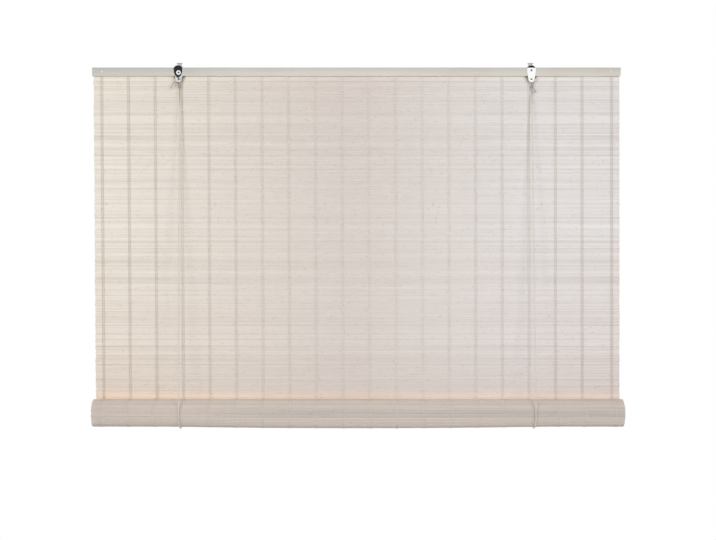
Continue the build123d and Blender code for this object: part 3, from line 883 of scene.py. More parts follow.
# %% Helpers: from a curve to a mesh
def path_curve(name, places, sizes=None):
    """A bare curve through places, for a Geometry Nodes tree to follow."""
    data = bpy.data.curves.new(name, "CURVE")
    data.dimensions = "3D"
    spline = data.splines.new("POLY")
    spline.points.add(len(places) - 1)
    for i, place in enumerate(places):
        spline.points[i].co = (*place, 1)
        spline.points[i].radius = 1 if sizes is None else sizes[i]
    carrier = bpy.data.objects.new(name, data)
    bpy.context.scene.collection.objects.link(carrier)
    return carrier


def run_tree(name, carrier, tree, values):
    """A plain mesh object from a tree on a carrier, which is then removed."""
    modifier = carrier.modifiers.new(name, "NODES")
    modifier.node_group = tree
    sockets = {s.name: s.identifier for s in tree.interface.items_tree if s.in_out == "INPUT"}
    for title, value in values.items():
        modifier[sockets[title]] = value
    bpy.context.view_layer.update()
    graph = bpy.context.evaluated_depsgraph_get()
    mesh = bpy.data.meshes.new_from_object(carrier.evaluated_get(graph), depsgraph=graph)
    mesh.name = name
    piece = bpy.data.objects.new(name, mesh)
    bpy.context.scene.collection.objects.link(piece)
    carrier.modifiers.clear()
    bpy.data.objects.remove(carrier)
    return piece


def triangles(piece):
    return sum(len(face.vertices) - 2 for face in piece.data.polygons)


# %% Helpers: geometry trees
def geometry_group(name, inputs):
    return new_group(
        name,
        [("Geometry", "NodeSocketGeometry", None), *inputs],
        [("Geometry", "NodeSocketGeometry")],
        "GeometryNodeTree",
    )


def random_value(tree, low, high, identity, seed, shift):
    made = node(tree, "FunctionNodeRandomValue", data_type="FLOAT")
    made.inputs[2].default_value = low
    made.inputs[3].default_value = high
    wire(tree, identity, made.inputs["ID"])
    wire(tree, maths(tree, "ADD", seed, shift), made.inputs["Seed"])
    return made.outputs[1]


def position(tree):
    return parts_of(tree, node(tree, "GeometryNodeInputPosition").outputs[0])


def moved(tree, geometry, offset, slot="Offset"):
    """Geometry with its points moved by an offset, or to a place where slot is Position."""
    made = node(tree, "GeometryNodeSetPosition")
    wire(tree, geometry, made.inputs["Geometry"])
    wire(tree, offset, made.inputs[slot])
    return made.outputs[0]


# %% [markdown]
# ### How the mat hangs
# The trees for slats and threads both end with this group, so that they move together. It
# shears the mat to its crooked left edge, lets the flat stretch ripple by a millimetre
# towards the room, and lets the roll sag between the cords.

# %% Group: hang of the mat
CORD_XS = (-0.491, 0.504)
RIPPLE_IN, RIPPLE_OUT = (0.03, 0.25), (0.97, 0.8)
HANG_INPUTS = [
    ("Left Drift", FLOAT, 0.0),
    ("Drift Depth", FLOAT, 1.0),
    ("Ripple", FLOAT, 0.0),
    ("Sag", FLOAT, 0.0),
]


def make_hang_group():
    group, come, go = geometry_group("hang_of_the_mat", HANG_INPUTS)
    x, _, z = position(group)
    near_left = maths(group, "DIVIDE", maths(group, "SUBTRACT", MAT_RIGHT, x), MAT_RIGHT - MAT_LEFT)
    depth = maths(group, "SUBTRACT", MAT_TOP, z)
    share = maths(group, "MINIMUM", maths(group, "DIVIDE", depth, come["Drift Depth"]), 1.0)
    lean = times(group, times(group, near_left, share), come["Left Drift"])
    soft = noise(group, joined(group, times(group, x, 2.1), 0.0, z), 2.3, 1.0)
    window = times(group, ranged(group, depth, *RIPPLE_IN), ranged(group, depth, *RIPPLE_OUT))
    ripple = times(group, times(group, soft, window), come["Ripple"])
    half_span = (CORD_XS[1] - CORD_XS[0]) / 2
    middle = (CORD_XS[0] + CORD_XS[1]) / 2
    out = maths(group, "DIVIDE", maths(group, "SUBTRACT", x, middle), half_span)
    arch = maths(group, "MAXIMUM", maths(group, "SUBTRACT", 1.0, times(group, out, out)), -0.1)
    low = ranged(group, maths(group, "SUBTRACT", ROLL_Z, z), 0.0, ROLL_RADIUS)
    sag = times(group, times(group, arch, low), come["Sag"])
    offset = joined(group, lean, times(group, ripple, -1.0), times(group, sag, -1.0))
    wire(group, moved(group, come["Geometry"], offset), go["Geometry"])
    return group


def hung_and_painted(tree, geometry, come, go, hang, material):
    """The end of both trees: hang the geometry, shade it smooth and set its material."""
    made = node(tree, "GeometryNodeGroup")
    made.node_tree = hang
    wire(tree, geometry, made.inputs["Geometry"])
    for title, _, _ in HANG_INPUTS:
        wire(tree, come[title], made.inputs[title])
    smooth = node(tree, "GeometryNodeSetShadeSmooth")
    wire(tree, made.outputs["Geometry"], smooth.inputs["Geometry"])
    painted = node(tree, "GeometryNodeSetMaterial")
    painted.inputs["Material"].default_value = material
    wire(tree, smooth.outputs[0], painted.inputs["Geometry"])
    wire(tree, painted.outputs[0], go["Geometry"])


hang_group = make_hang_group()
print("hang of the mat:", len(hang_group.nodes), "nodes")

# %% [markdown]
# ### One slat
# A slat starts as a bar of unit size with rounded edges. Its rings are spread towards its
# ends, so that the smooth shading of the end faces stays in the last few millimetres.
# Each point of the path then stretches the bar to a slat, with a height, a thickness and
# ends of its own, and a slow noise bows it as split bamboo bows.

# %% Helpers: the bar and its bow
SLAT_SEGMENTS = 18
RING_SPREAD = 0.124
EDGE_THINNING = 0.42
INNER_RISE = 0.7


def slat_bar(tree):
    """A bar of unit size along X, thinner at its edges, with its rings spread outwards."""
    bar = node(tree, "GeometryNodeMeshCube")
    bar.inputs["Size"].default_value = (1, 1, 1)
    bar.inputs["Vertices X"].default_value = SLAT_SEGMENTS + 1
    bar.inputs["Vertices Y"].default_value = 2
    bar.inputs["Vertices Z"].default_value = 4
    x, y, z = position(tree)
    is_edge = maths(tree, "GREATER_THAN", maths(tree, "ABSOLUTE", z), 0.4)
    is_inner = maths(tree, "LESS_THAN", maths(tree, "ABSOLUTE", x), 0.49)
    thinned = maths(tree, "SUBTRACT", 1.0, times(tree, is_edge, EDGE_THINNING))
    spread = maths(tree, "ADD", 1.0, times(tree, is_inner, RING_SPREAD))
    inner = maths(tree, "SUBTRACT", 1.0, is_edge)
    raised = maths(tree, "ADD", 1.0, times(tree, inner, INNER_RISE))
    rounded = joined(tree, times(tree, x, spread), times(tree, y, thinned), times(tree, z, raised))
    return moved(tree, bar.outputs["Mesh"], rounded, "Position")


def told(tree, geometry, title, value, domain="POINT"):
    """Geometry that carries a named number for its shader."""
    made = node(tree, "GeometryNodeStoreNamedAttribute", data_type="FLOAT", domain=domain)
    made.inputs["Name"].default_value = title
    wire(tree, geometry, made.inputs["Geometry"])
    wire(tree, value, made.inputs["Value"])
    return made.outputs[0]


def bowed(tree, geometry, x, waviness):
    """Slats bent by a slow noise along them, each by its own number."""
    own = node(tree, "GeometryNodeInputNamedAttribute", data_type="FLOAT")
    own.inputs["Name"].default_value = "slat_seed"
    field = node(tree, "ShaderNodeTexNoise")
    field.inputs["Scale"].default_value = 1.0
    field.inputs["Detail"].default_value = 1.0
    drawn = joined(tree, times(tree, x, 3.5), times(tree, own.outputs[0], 311.0), 0.0)
    wire(tree, drawn, field.inputs["Vector"])
    centred = node(tree, "ShaderNodeVectorMath", operation="SUBTRACT")
    centred.inputs[1].default_value = (0.5, 0.5, 0.5)
    wire(tree, field.outputs["Color"], centred.inputs[0])
    sway = node(tree, "ShaderNodeVectorMath", operation="MULTIPLY")
    wire(tree, centred.outputs[0], sway.inputs[0])
    wire(tree, joined(tree, 0.0, waviness, waviness), sway.inputs[1])
    return moved(tree, geometry, sway.outputs[0])


# %% Tree: slats along a path
SLAT_INPUTS = [
    ("Slat Thickness", FLOAT, 0.0017),
    ("Left End", FLOAT, -0.745),
    ("Right End", FLOAT, 0.7545),
    ("End Play", FLOAT, 0.0012),
    ("Waviness", FLOAT, 0.0003),
    *HANG_INPUTS,
    ("Seed", "NodeSocketInt", 1),
]


def slat_ends(tree, come, which):
    """Where a slat begins and ends along X, each with some play."""
    left = random_value(tree, -1, 1, which, come["Seed"], 1)
    right = random_value(tree, -1, 0.3, which, come["Seed"], 2)
    left = maths(tree, "ADD", come["Left End"], times(tree, left, come["End Play"]))
    return left, maths(tree, "ADD", come["Right End"], times(tree, right, come["End Play"]))


def make_slat_tree(material):
    tree, come, go = geometry_group("slats_along_a_path", SLAT_INPUTS)
    laid = node(tree, "GeometryNodeCurveToPoints", mode="EVALUATED")
    wire(tree, come["Geometry"], laid.inputs["Curve"])
    room = node(tree, "GeometryNodeInputRadius").outputs[0]
    which = node(tree, "GeometryNodeInputIndex").outputs[0]
    seed = come["Seed"]
    left, right = slat_ends(tree, come, which)
    length = maths(tree, "SUBTRACT", right, left)
    middle = times(tree, maths(tree, "ADD", left, right), 0.5)
    height = times(tree, room, random_value(tree, 0.9, 1.0, which, seed, 3))
    thick = times(tree, come["Slat Thickness"], random_value(tree, 0.8, 1.05, which, seed, 4))
    _, along_y, along_z = parts_of(tree, laid.outputs["Tangent"])
    angle = maths(tree, "ARCTAN2", times(tree, along_y, -1.0), along_z)
    turn = node(tree, "FunctionNodeEulerToRotation")
    wire(tree, joined(tree, angle, 0.0, 0.0), turn.inputs[0])
    points = moved(tree, laid.outputs["Points"], joined(tree, middle, 0.0, 0.0))
    stand = node(tree, "GeometryNodeInstanceOnPoints")
    wire(tree, points, stand.inputs["Points"])
    wire(tree, slat_bar(tree), stand.inputs["Instance"])
    wire(tree, turn.outputs[0], stand.inputs["Rotation"])
    wire(tree, joined(tree, length, thick, height), stand.inputs["Scale"])
    own = random_value(tree, 0, 1, which, seed, 5)
    marked = told(tree, stand.outputs[0], "slat_seed", own, "INSTANCE")
    real = node(tree, "GeometryNodeRealizeInstances")
    wire(tree, marked, real.inputs["Geometry"])
    x, _, z = position(tree)
    slats = told(tree, real.outputs[0], "along", x)
    slats = told(tree, slats, "rest_height", z)
    slats = bowed(tree, slats, x, come["Waviness"])
    hung_and_painted(tree, slats, come, go, hang_group, material)
    return tree


slat_tree = make_slat_tree(slat_material)
roll_tree = make_slat_tree(roll_material)
print("slat tree:", len(slat_tree.nodes), "nodes")

# %% [markdown]
# ### Warp threads
# The warp threads twine in pairs: one yarn passes in front of a slat while its partner
# passes behind, and they change places in the gap below it. Two pairs stand side by side
# in every row of stitches. A path with two points on each slat carries the yarns, and
# the number of a point tells on which side of the slat it passes.

# %% Helpers: one row of twined yarns
YARN_SIDES = 3
YARN_INPUTS = [
    ("Yarn Radius", FLOAT, 0.00036),
    ("Reach", FLOAT, 0.0012),
    ("Slant", FLOAT, 0.0005),
    ("Pair Spread", FLOAT, 0.003),
    ("Rows", "NodeSocketInt", 10),
    ("First Row", FLOAT, -0.722),
    ("Row Pitch", FLOAT, 0.0758),
    ("Last Row Shift", FLOAT, 0.0),
    ("Wander", FLOAT, 0.0006),
    *HANG_INPUTS,
]


def signed(tree, flag):
    """Turns a 0 or 1 into a -1 or 1."""
    return maths(tree, "SUBTRACT", times(tree, flag, 2.0), 1.0)


def twined_lines(tree, come):
    """Four yarn lines: two pairs side by side, each with a yarn on either side."""
    step = node(tree, "GeometryNodeInputIndex").outputs[0]
    slat = maths(tree, "FLOOR", times(tree, step, 0.5))
    face = signed(tree, maths(tree, "FLOORED_MODULO", slat, 2.0))
    half = signed(tree, maths(tree, "FLOORED_MODULO", step, 2.0))
    _, along_y, along_z = parts_of(tree, node(tree, "GeometryNodeInputTangent").outputs[0])
    joint = node(tree, "GeometryNodeJoinGeometry")
    for pair in (-0.5, 0.5):
        for sign in (-1.0, 1.0):
            out = times(tree, times(tree, face, sign), come["Reach"])
            slant = times(tree, times(tree, face, half), come["Slant"])
            side = maths(tree, "ADD", times(tree, slant, sign), times(tree, come["Pair Spread"], pair))
            offset_y = times(tree, times(tree, along_z, -1.0), out)
            offset = joined(tree, side, offset_y, times(tree, along_y, out))
            wire(tree, moved(tree, come["Geometry"], offset), joint.inputs[0])
    return joint.outputs[0]


def yarn_tubes(tree, lines, radius):
    ring = node(tree, "GeometryNodeCurvePrimitiveCircle", mode="RADIUS")
    ring.inputs["Resolution"].default_value = YARN_SIDES
    wire(tree, radius, ring.inputs["Radius"])
    tube = node(tree, "GeometryNodeCurveToMesh")
    wire(tree, lines, tube.inputs["Curve"])
    wire(tree, ring.outputs["Curve"], tube.inputs["Profile Curve"])
    tube.inputs["Fill Caps"].default_value = True
    return tube.outputs[0]


# %% Tree: rows of yarns along a path
def row_points(tree, come):
    """One point for each row of stitches, with the last one set apart."""
    line = node(tree, "GeometryNodeMeshLine", mode="OFFSET")
    wire(tree, come["Rows"], line.inputs["Count"])
    wire(tree, joined(tree, come["First Row"], 0.0, 0.0), line.inputs["Start Location"])
    wire(tree, joined(tree, come["Row Pitch"], 0.0, 0.0), line.inputs["Offset"])
    row = node(tree, "GeometryNodeInputIndex").outputs[0]
    last = maths(tree, "COMPARE", row, maths(tree, "SUBTRACT", come["Rows"], 1.0), 0.1)
    shift = times(tree, last, come["Last Row Shift"])
    return moved(tree, line.outputs[0], joined(tree, shift, 0.0, 0.0))


def make_yarn_tree(material):
    tree, come, go = geometry_group("warp_yarns_along_a_path", YARN_INPUTS)
    tubes = yarn_tubes(tree, twined_lines(tree, come), come["Yarn Radius"])
    stand = node(tree, "GeometryNodeInstanceOnPoints")
    wire(tree, row_points(tree, come), stand.inputs["Points"])
    wire(tree, tubes, stand.inputs["Instance"])
    real = node(tree, "GeometryNodeRealizeInstances")
    wire(tree, stand.outputs[0], real.inputs["Geometry"])
    x, y, z = position(tree)
    own_row = maths(tree, "ROUND", maths(tree, "DIVIDE", x, come["Row Pitch"]))
    drawn = joined(tree, times(tree, own_row, 7.3), y, times(tree, z, 6.0))
    soft = noise(tree, drawn, 1.0, 2.0)
    stray = times(tree, maths(tree, "SUBTRACT", soft, 0.5), come["Wander"])
    loose = moved(tree, real.outputs[0], joined(tree, stray, 0.0, 0.0))
    hung_and_painted(tree, loose, come, go, hang_group, material)
    return tree


yarn_tree = make_yarn_tree(thread_material)
roll_yarn_tree = make_yarn_tree(roll_thread)
print("yarn tree:", len(yarn_tree.nodes), "nodes")

# %% [markdown]
# ## The mat
# The heights of the slats are drawn first, from a fixed seed, so that slats and threads
# agree on them. Even slats would also make false bands in a small picture. The flat
# stretch runs straight down. The roll is a spiral that steps in where the end of a layer
# lies under the next one, and its upper half has settled slightly.

# %% Heights and paths
SLAT_PITCH = 2.715 * MM
TURN_PITCH = 4.2 * MM
CENTER_RADIUS = 41.4 * MM
WOUND_LENGTH = 0.815
ROLL_SETTLED = 0.95
STEP_SHARE, STEP_PART = 0.25, 0.1
LOOSENESS, LOOSE_WAVES, LOOSE_FROM = 0.3 * MM, 2.3, 6
MOST_ANGLE, ANGLE_STEP = 30, math.radians(2)
FLAT_DEPTH = MAT_TOP - ROLL_Z


def slat_heights(length, seed):
    """Heights of the slats that fill a length, uneven as split bamboo is."""
    count = round(length / SLAT_PITCH)
    share = np.random.default_rng(seed).triangular(0.6, 0.95, 1.5, count)
    return share * length / share.sum()


def middles(heights):
    return np.cumsum(heights) - heights / 2


def flat_place(distance):
    return (0, MAT_Y, MAT_TOP - distance)


def wound_table():
    """Distances along the rolled mat's middle line, with the places there."""
    angles = np.arange(0, MOST_ANGLE, ANGLE_STEP)
    turns = angles / math.tau
    part = turns % 1
    step_in = turns - part + STEP_SHARE * np.minimum(1, part / STEP_PART) + (1 - STEP_SHARE) * part
    radii = CENTER_RADIUS - TURN_PITCH * step_in
    loose = 1 + np.sin(LOOSE_WAVES * angles + 1)
    radii -= LOOSENESS * loose * np.minimum(1, angles / LOOSE_FROM)
    y, up = ROLL_Y + radii * np.cos(angles), -radii * np.sin(angles)
    z = ROLL_Z + np.where(up > 0, up * ROLL_SETTLED, up)
    steps = np.hypot(np.diff(y), np.diff(z))
    return np.concatenate(([0], np.cumsum(steps))), y, z


wound_distances, wound_y, wound_z = wound_table()


def wound_place(distance):
    y = float(np.interp(distance, wound_distances, wound_y))
    return (0, y, float(np.interp(distance, wound_distances, wound_z)))


flat_heights = slat_heights(FLAT_DEPTH, seed=5)
wound_heights = slat_heights(WOUND_LENGTH, seed=6)
print("slats:", len(flat_heights), "flat and", len(wound_heights), "rolled")

# %% [markdown]
# The slats are laid on both paths with the same sizes. Only the left end, the drift of the
# left edge, the ripple, the sag and the seed differ.

# %% Slats
LEFT_DRIFT = 7 * MM
ROLL_DRIFT = 2 * MM
ROLL_DEPTH = 10 * MM
ROLL_SAG = 4.5 * MM
RIPPLE = 1.2 * MM


def hang_values(drift, depth, ripple, sag):
    return {"Left Drift": drift, "Drift Depth": depth, "Ripple": ripple, "Sag": sag}


def made_slats(name, place_at, heights, tree, left, hanging, seed):
    carrier = path_curve(name + "_path", [place_at(d) for d in middles(heights)], heights)
    return run_tree(name, carrier, tree, {
        "Slat Thickness": 1.7 * MM, "Left End": left, "Right End": MAT_RIGHT - 0.5 * MM,
        "End Play": 1.3 * MM, "Waviness": 0.7 * MM, **hanging, "Seed": seed,
    })


flat_hanging = hang_values(LEFT_DRIFT, FLAT_DEPTH, RIPPLE, 0.0)
roll_hanging = hang_values(ROLL_DRIFT, ROLL_DEPTH, 0.0, ROLL_SAG)
flat_slats = made_slats(
    "bamboo_slats", flat_place, flat_heights, slat_tree, MAT_LEFT, flat_hanging, seed=3
)
roll_slats = made_slats(
    "rolled_slats", wound_place, wound_heights, roll_tree, MAT_LEFT + LEFT_DRIFT, roll_hanging,
    seed=8
)
for piece in (flat_slats, roll_slats):
    print(piece.name, triangles(piece), "triangles", [round(v, 4) for v in piece.dimensions])

# %% [markdown]
# The flat stretch has its threads in two pieces, ten rows each, which keeps each piece
# light. They start below the slats that the rail hides. On the roll only the outer
# turns are threaded, because they hide the inner ones.

# %% Threads
TOP_SLATS_HIDDEN = 8
THREADED_ROLL = 0.33
HALF_ROWS = ROW_COUNT // 2


def made_yarns(name, place_at, heights, tree, skipped, first, rows, last_shift, hanging):
    """Two points of the path on each slat, above and below its middle."""
    centers = middles(heights)[skipped:]
    quarters = heights[skipped:] / 4
    stops = np.stack((centers - quarters, centers + quarters), axis=1).ravel()
    carrier = path_curve(name + "_path", [place_at(d) for d in stops])
    return run_tree(name, carrier, tree, {
        "Yarn Radius": 0.55 * MM, "Reach": 1.2 * MM, "Slant": 0.9 * MM,
        "Pair Spread": 5.6 * MM, "Rows": rows, "First Row": first, "Row Pitch": ROW_PITCH,
        "Last Row Shift": last_shift, "Wander": 2.0 * MM, **hanging,
    })


left_threads = made_yarns(
    "left_warp_threads", flat_place, flat_heights, yarn_tree, TOP_SLATS_HIDDEN,
    FIRST_ROW, HALF_ROWS, 0.0, flat_hanging
)
right_threads = made_yarns(
    "right_warp_threads", flat_place, flat_heights, yarn_tree, TOP_SLATS_HIDDEN,
    FIRST_ROW + HALF_ROWS * ROW_PITCH, HALF_ROWS, LAST_SHIFT, flat_hanging
)
outer_count = int(np.searchsorted(np.cumsum(wound_heights), THREADED_ROLL))
thread_hanging = hang_values(LEFT_DRIFT + ROLL_DRIFT, ROLL_DEPTH, 0.0, ROLL_SAG)
roll_threads = made_yarns(
    "rolled_threads", wound_place, wound_heights[:outer_count], roll_yarn_tree, 0,
    FIRST_ROW, ROW_COUNT, LAST_SHIFT, thread_hanging
)
for piece in (left_threads, right_threads, roll_threads):
    print(piece.name, triangles(piece), "triangles", [round(v, 4) for v in piece.dimensions])

# %% [markdown]
# ## Lift cords
# Each lift cord is tied to its wheel, runs down in front, under the roll and up behind
# the mat, and ends in a stopper knot behind the hanging plate. The lines are smooth
# splines, and the tubes follow them. A tube made in code keeps the distance along the
# cord in its UV map, which a beveled curve would stretch at the bends.

# %% Measures of the cords
CORD_RADIUS = 1.25 * MM
CORD_SIDES = 10
FRAYED = 7 * MM
FRAY = 0.5
AXLE_Z = -40.5 * MM
WHEEL_Y = -19.0 * MM
KNOT_Z = -62.8 * MM
KNOT_SHIFT = 2 * MM
LEG_ORBIT = 7.55 * MM
SLING_ORBIT = 44.5 * MM
CORD_TOP_Z = -67.1 * MM
ANCHOR_Z = -42 * MM
ANCHOR_Y = -0.3 * MM
CORD_RISE = 55 * MM
print("cord", 2 * CORD_RADIUS / MM, "mm thick")


# %% Helpers: a smooth line and a tube along it
def smooth_line(name, places):
    """Points along the order 3 spline that has places as its control points."""
    data = bpy.data.curves.new(name, "CURVE")
    data.dimensions = "3D"
    data.resolution_u = 12
    spline = data.splines.new("NURBS")
    spline.points.add(len(places) - 1)
    for point, place in zip(spline.points, places):
        point.co = (*place, 1)
    spline.order_u = 3
    spline.use_endpoint_u = True
    carrier = bpy.data.objects.new(name, data)
    mesh = bpy.data.meshes.new_from_object(carrier)
    points = np.array([v.co for v in mesh.vertices], float)
    bpy.data.objects.remove(carrier)
    bpy.data.meshes.remove(mesh)
    return points


def rings_along(line, along, radius, fray):
    """Rings of points round a line, without twist, wider towards a frayed start."""
    ways = np.gradient(line, axis=0)
    ways /= np.linalg.norm(ways, axis=1)[:, None]
    side = np.cross(ways[0], (0.3, 0.9, 0.1))
    side /= np.linalg.norm(side)
    turns = np.arange(CORD_SIDES) * math.tau / CORD_SIDES
    rings = np.empty((len(line), CORD_SIDES, 3))
    for i, way in enumerate(ways):
        side = side - way * np.dot(side, way)
        side /= np.linalg.norm(side)
        other = np.cross(way, side)
        size = radius * (1 + fray * max(0, 1 - along[i] / FRAYED))
        ring = np.outer(np.cos(turns), side) + np.outer(np.sin(turns), other)
        rings[i] = line[i] + ring * size
    return rings


def wrapped_faces(along):
    """Faces between the rings and over both ends, and their corners on the UV map."""
    faces, wraps = [], []
    for i in range(len(along) - 1):
        for j in range(CORD_SIDES):
            k = (j + 1) % CORD_SIDES
            a, b = i * CORD_SIDES, (i + 1) * CORD_SIDES
            faces.append((a + j, a + k, b + k, b + j))
            u, v, w, t = along[i], along[i + 1], j / CORD_SIDES, (j + 1) / CORD_SIDES
            wraps += [(u, w), (u, t), (v, t), (v, w)]
    for start, flip in ((0, True), ((len(along) - 1) * CORD_SIDES, False)):
        cap = [start + j for j in range(CORD_SIDES)]
        faces.append(tuple(reversed(cap)) if flip else tuple(cap))
        wraps += [(0, j / CORD_SIDES) for j in range(CORD_SIDES)]
    return faces, wraps


def tube(name, line, radius, material, fray=0.0):
    """A closed tube along line with a UV map named wrap; returns it and its ring centres."""
    steps = np.linalg.norm(np.diff(line, axis=0), axis=1)
    line = line[np.concatenate(([True], steps > 1e-7))]
    steps = np.linalg.norm(np.diff(line, axis=0), axis=1)
    along = np.concatenate(([0], np.cumsum(steps)))
    faces, wraps = wrapped_faces(along)
    mesh = bpy.data.meshes.new(name)
    mesh.from_pydata(rings_along(line, along, radius, fray).reshape(-1, 3).tolist(), [], faces)
    layer = mesh.uv_layers.new(name="wrap")
    layer.data.foreach_set("uv", np.array(wraps, np.float32).ravel())
    mesh.polygons.foreach_set("use_smooth", [True] * len(mesh.polygons))
    mesh.materials.append(material)
    piece = bpy.data.objects.new(name, mesh)
    bpy.context.scene.collection.objects.link(piece)
    return piece, line


# %% [markdown]
# ### The long run
# The cord leaves its knot, touches the roll, goes round it and rises behind the mat to
# the hole in the hanging plate. It meets the roll's circle as a tangent, so the line
# lies on the roll without a kink.

# %% Route: down, round the roll and up
def around(center, radius, start, stop, count):
    """Corners of a polygon whose sides touch the circle, from one angle to another."""
    step = (stop - start) / count
    reach = radius / math.cos(step / 2)
    angles = [start + step * (i + 0.5) for i in range(count)]
    return [(center[0] + reach * math.cos(a), center[1] + reach * math.sin(a)) for a in angles]


def touch_angle(center, radius, place, side):
    reach = math.dist(center, place)
    toward = math.atan2(place[1] - center[1], place[0] - center[0])
    return toward + side * math.acos(radius / reach)


def run_places(bracket_x, sling_x):
    """Control points of the lift cord from its knot, round the roll and up to the plate."""
    knot_x = bracket_x + KNOT_SHIFT
    center = (ROLL_Y, ROLL_Z)
    start = (WHEEL_Y, CORD_TOP_Z)
    touch = touch_angle(center, SLING_ORBIT, start, 1)
    round_roll = around(center, SLING_ORBIT, touch, math.tau, 8)
    meet_y, meet_z = round_roll[0]
    places = [(knot_x, *start)]
    for share in (0.3, 0.7):
        y = start[0] + (meet_y - start[0]) * share
        z = start[1] + (meet_z - start[1]) * share
        places.append((knot_x + (sling_x - knot_x) * share, y, z))
    places.append((sling_x, meet_y * 0.98 + start[0] * 0.02, meet_z * 0.98 + start[1] * 0.02))
    places += [(sling_x, y, z) for y, z in round_roll]
    back_y = ROLL_Y + SLING_ORBIT
    places.append((sling_x, back_y, ROLL_Z + 16 * MM))
    for share in (0.35, 0.7, 0.985):
        z = ROLL_Z + (ANCHOR_Z - ROLL_Z) * share
        places.append((sling_x + (bracket_x - sling_x) * share, back_y, z))
    return places + [(bracket_x, back_y, ANCHOR_Z), (bracket_x, ANCHOR_Y, ANCHOR_Z)]


# %% [markdown]
# ### The knots
# At the wheel the cord makes a loop and two half hitches round itself, and a short tail
# stands off: up and over on the left, straight down on the right. Behind the plate
# a small coil keeps the cord from slipping back through its hole.

# %% Routes: the tie and the stopper knot
HITCHES, POINTS_PER_HITCH = 2.0, 12
COIL_TURNS, COIL_STEPS, COIL_WIDTH = 1.5, 18, 2.8 * MM
TAILS = {
    "left": [
        (-23.5, -3.4, -3), (-20.5, -3.2, 6), (-15, -2.8, 14), (-8, -2.4, 14), (-4, -1.8, 5),
        (-2.6, -0.6, -1.5),
    ],
    "right": [(10.5, -4.4, -14.9), (7.4, -2.8, -9.8), (4.6, -1.5, -5.4)],
}


def tie_places(bracket_x, tail):
    """Control points of the tail, the two half hitches and the loop over the wheel."""
    knot_x = bracket_x + KNOT_SHIFT
    wrap = 2 * CORD_RADIUS + 0.1 * MM
    top, bottom = KNOT_Z + 3.0 * MM, KNOT_Z - 2.2 * MM
    count = int(HITCHES * POINTS_PER_HITCH)
    places = [(knot_x + x * MM, WHEEL_Y + y * MM, KNOT_Z + z * MM) for x, y, z in tail]
    for i in range(count + 1):
        angle = math.tau * HITCHES * (1 - i / count)
        z = bottom + (top - bottom) * i / count
        places.append((knot_x + wrap * math.cos(angle), WHEEL_Y + wrap * math.sin(angle), z))
    center = (bracket_x, AXLE_Z)
    knot = (knot_x, KNOT_Z)
    right = touch_angle(center, LEG_ORBIT, knot, 1)
    left = touch_angle(center, LEG_ORBIT, knot, -1)
    if math.cos(right) < math.cos(left):
        right, left = left, right
    left += math.tau if left < right else 0
    places += [(x, WHEEL_Y, z) for x, z in around(center, LEG_ORBIT, right, left, 7)]
    down = [(knot_x - 0.2 * MM, top + 2 * MM), (knot_x, KNOT_Z), (knot_x, CORD_TOP_Z)]
    return places + [(x, WHEEL_Y, z) for x, z in down]


def anchor_places(bracket_x):
    """Control points of the stopper knot behind the plate and its hanging end."""
    middle_y = 2.9 * MM
    wrap = 1.55 * MM
    places = [(bracket_x, ANCHOR_Y, ANCHOR_Z), (bracket_x - 1.2 * MM, 1.4 * MM, ANCHOR_Z)]
    for i in range(COIL_STEPS + 1):
        angle = math.tau * COIL_TURNS * i / COIL_STEPS
        places.append((
            bracket_x - COIL_WIDTH / 2 + COIL_WIDTH * i / COIL_STEPS,
            middle_y + wrap * math.sin(angle),
            ANCHOR_Z + wrap * math.cos(angle),
        ))
    places.append((bracket_x + 2.0 * MM, middle_y, ANCHOR_Z - 5 * MM))
    places.append((bracket_x + 1.4 * MM, middle_y - 0.4 * MM, ANCHOR_Z - 11 * MM))
    return places


# %% [markdown]
# ### Going with the roll
# When the blind is raised, the mat and the cords between the rail and the roll shorten.
# They are blended between the two bodies, and the weight of each point is its own share
# of the way down, so that the stretch changes evenly instead of in one fold.

# %% Helpers: weights between rail and roll
def hang_weights(points, fixed_z, moved_z=ROLL_Z):
    """How far each point goes with the roll: from 0 where it is fixed to 1 at the roll."""
    return np.clip((fixed_z - points[:, 2]) / (fixed_z - moved_z), 0, 1)


def bend_evenly(piece, weights):
    """Lets a piece lengthen and shorten evenly between the rail and the roll."""
    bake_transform(piece, "rail", "cradle", (0, 0, MAT_TOP), (0, 0, ROLL_Z))
    data = piece.data.attributes["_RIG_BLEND"].data
    data.foreach_set("value", weights.astype(np.float32))


def vertex_places(piece):
    places = np.empty(len(piece.data.vertices) * 3)
    piece.data.vertices.foreach_get("co", places)
    return places.reshape(-1, 3)


def run_weights(places):
    """Weights of a cord: its front run bends over the roll, and its rear run stays straight."""
    share = np.clip((places[:, 2] - CORD_TOP_Z) / (ROLL_Z - CORD_TOP_Z), 0, 1)
    near_top = WHEEL_Y + (ROLL_Y - SLING_ORBIT - WHEEL_Y) * share
    is_front = places[:, 1] < (near_top + ROLL_Y + SLING_ORBIT) / 2
    over_roll = hang_weights(places, CORD_TOP_Z, ROLL_Z + CORD_RISE)
    return np.where(is_front, over_roll, hang_weights(places, ANCHOR_Z))


# %% [markdown]
# Both cords are made by one loop. The tie and the stopper knot go with the rail, and the run
# bends between the rail and the roll.

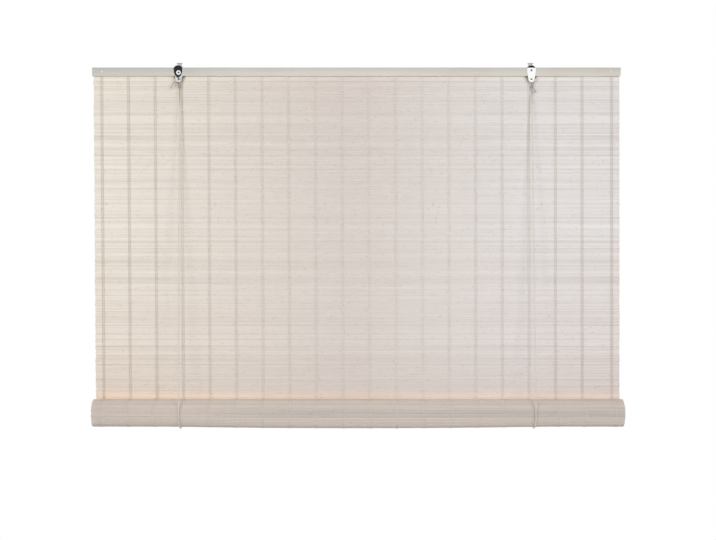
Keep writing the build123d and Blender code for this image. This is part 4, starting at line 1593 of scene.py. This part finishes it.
# %% Cords
BRACKET_XS = {"left": -0.501, "right": 0.501}
for side, sling_x in zip(BRACKET_XS, CORD_XS):
    bracket_x = BRACKET_XS[side]
    run_line = smooth_line(side + "_run", run_places(bracket_x, sling_x))
    run, run_line = tube(side + "_lift_cord", run_line, CORD_RADIUS, cord_material)
    tie_line = smooth_line(side + "_tie", tie_places(bracket_x, TAILS[side]))
    tie, _ = tube(side + "_cord_knot", tie_line, CORD_RADIUS, cord_material, FRAY)
    stop_line = smooth_line(side + "_stop", anchor_places(bracket_x))
    stop, _ = tube(side + "_stopper_knot", stop_line, CORD_RADIUS, cord_material)
    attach(tie, "rail")
    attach(stop, "rail")
    bend_evenly(run, run_weights(vertex_places(run)))
    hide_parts(side + "_front_cord", side + "_cord_sling", side + "_rear_cord")
    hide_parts(side + "_cord_tie")
    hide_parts(side + "_anchor_knot")

# %% [markdown]
# ## The mat and its bodies
# The flat stretch and its threads are drawn out and shortened between the rail and the
# roll. The rolled slats and threads turn with the roll.

# %% The mat's pieces go with the rail and the roll
stretching = (flat_slats, left_threads, right_threads)
turning = (roll_slats, roll_threads)
for piece in stretching:
    bend_evenly(piece, hang_weights(vertex_places(piece), MAT_TOP))
for piece in turning:
    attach(piece, "roll")
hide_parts("mat_panel")
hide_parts("panel_threads")
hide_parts("mat_roll")
print("stretching:", [piece.name for piece in stretching])
print("turning:", [piece.name for piece in turning])

# %% [markdown]
# ## Finishes
# The pieces that keep their own solids get a finish each: limed timber, nickel, zinc
# and blackened steel. The left plate is painted dark, as a dark reflection, and the right one
# is bright.

# %% Finishes for the frame's own pieces
FINISHES = {
    "head_rail": rail_material,
    "rear_batten": batten_material,
    "bottom_batten": batten_material,
    "front_nails": metals["nail_steel"],
    "rear_nails": metals["nail_steel"],
    "bottom_nails": metals["nail_steel"],
    "left_washer": metals["nickel_plate"],
    "left_front_plate": metals["nickel_dark_reflection"],
    "right_front_plate": metals["nickel_plate"],
}
BRACKET_FINISHES = {
    "shield_plate": "black_steel",
    "hanging_plate": "satin_nickel",
    "pulley_cheek": "wheel_brass",
    "pulley_wheel": "wheel_brass",
    "axle_rivet": "zinc_screw",
    "plate_screw": "zinc_screw",
    "hanger_screws": "zinc_screw",
    "cheek_screws": "zinc_screw",
}
for side in BRACKET_XS:
    for part, metal in BRACKET_FINISHES.items():
        FINISHES[side + "_" + part] = metals[metal]
for name, material in FINISHES.items():
    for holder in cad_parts[name].material_slots:
        holder.material = material
print("finished nodes:", len(FINISHES))

# %% [markdown]
# ## Size
# The visual model has to stay in the box of the solids, apart from a little fabric that may
# stand proud. Both boxes are measured, and the growth past the frame's box is printed in
# millimetres.

# %% Size of the visual model against the frame
made_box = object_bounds()
growth = [round((b - a) / MM, 2) for x, y in zip(cad_box, made_box) for a, b in zip(x, y)]
print("grown by", growth, "mm")
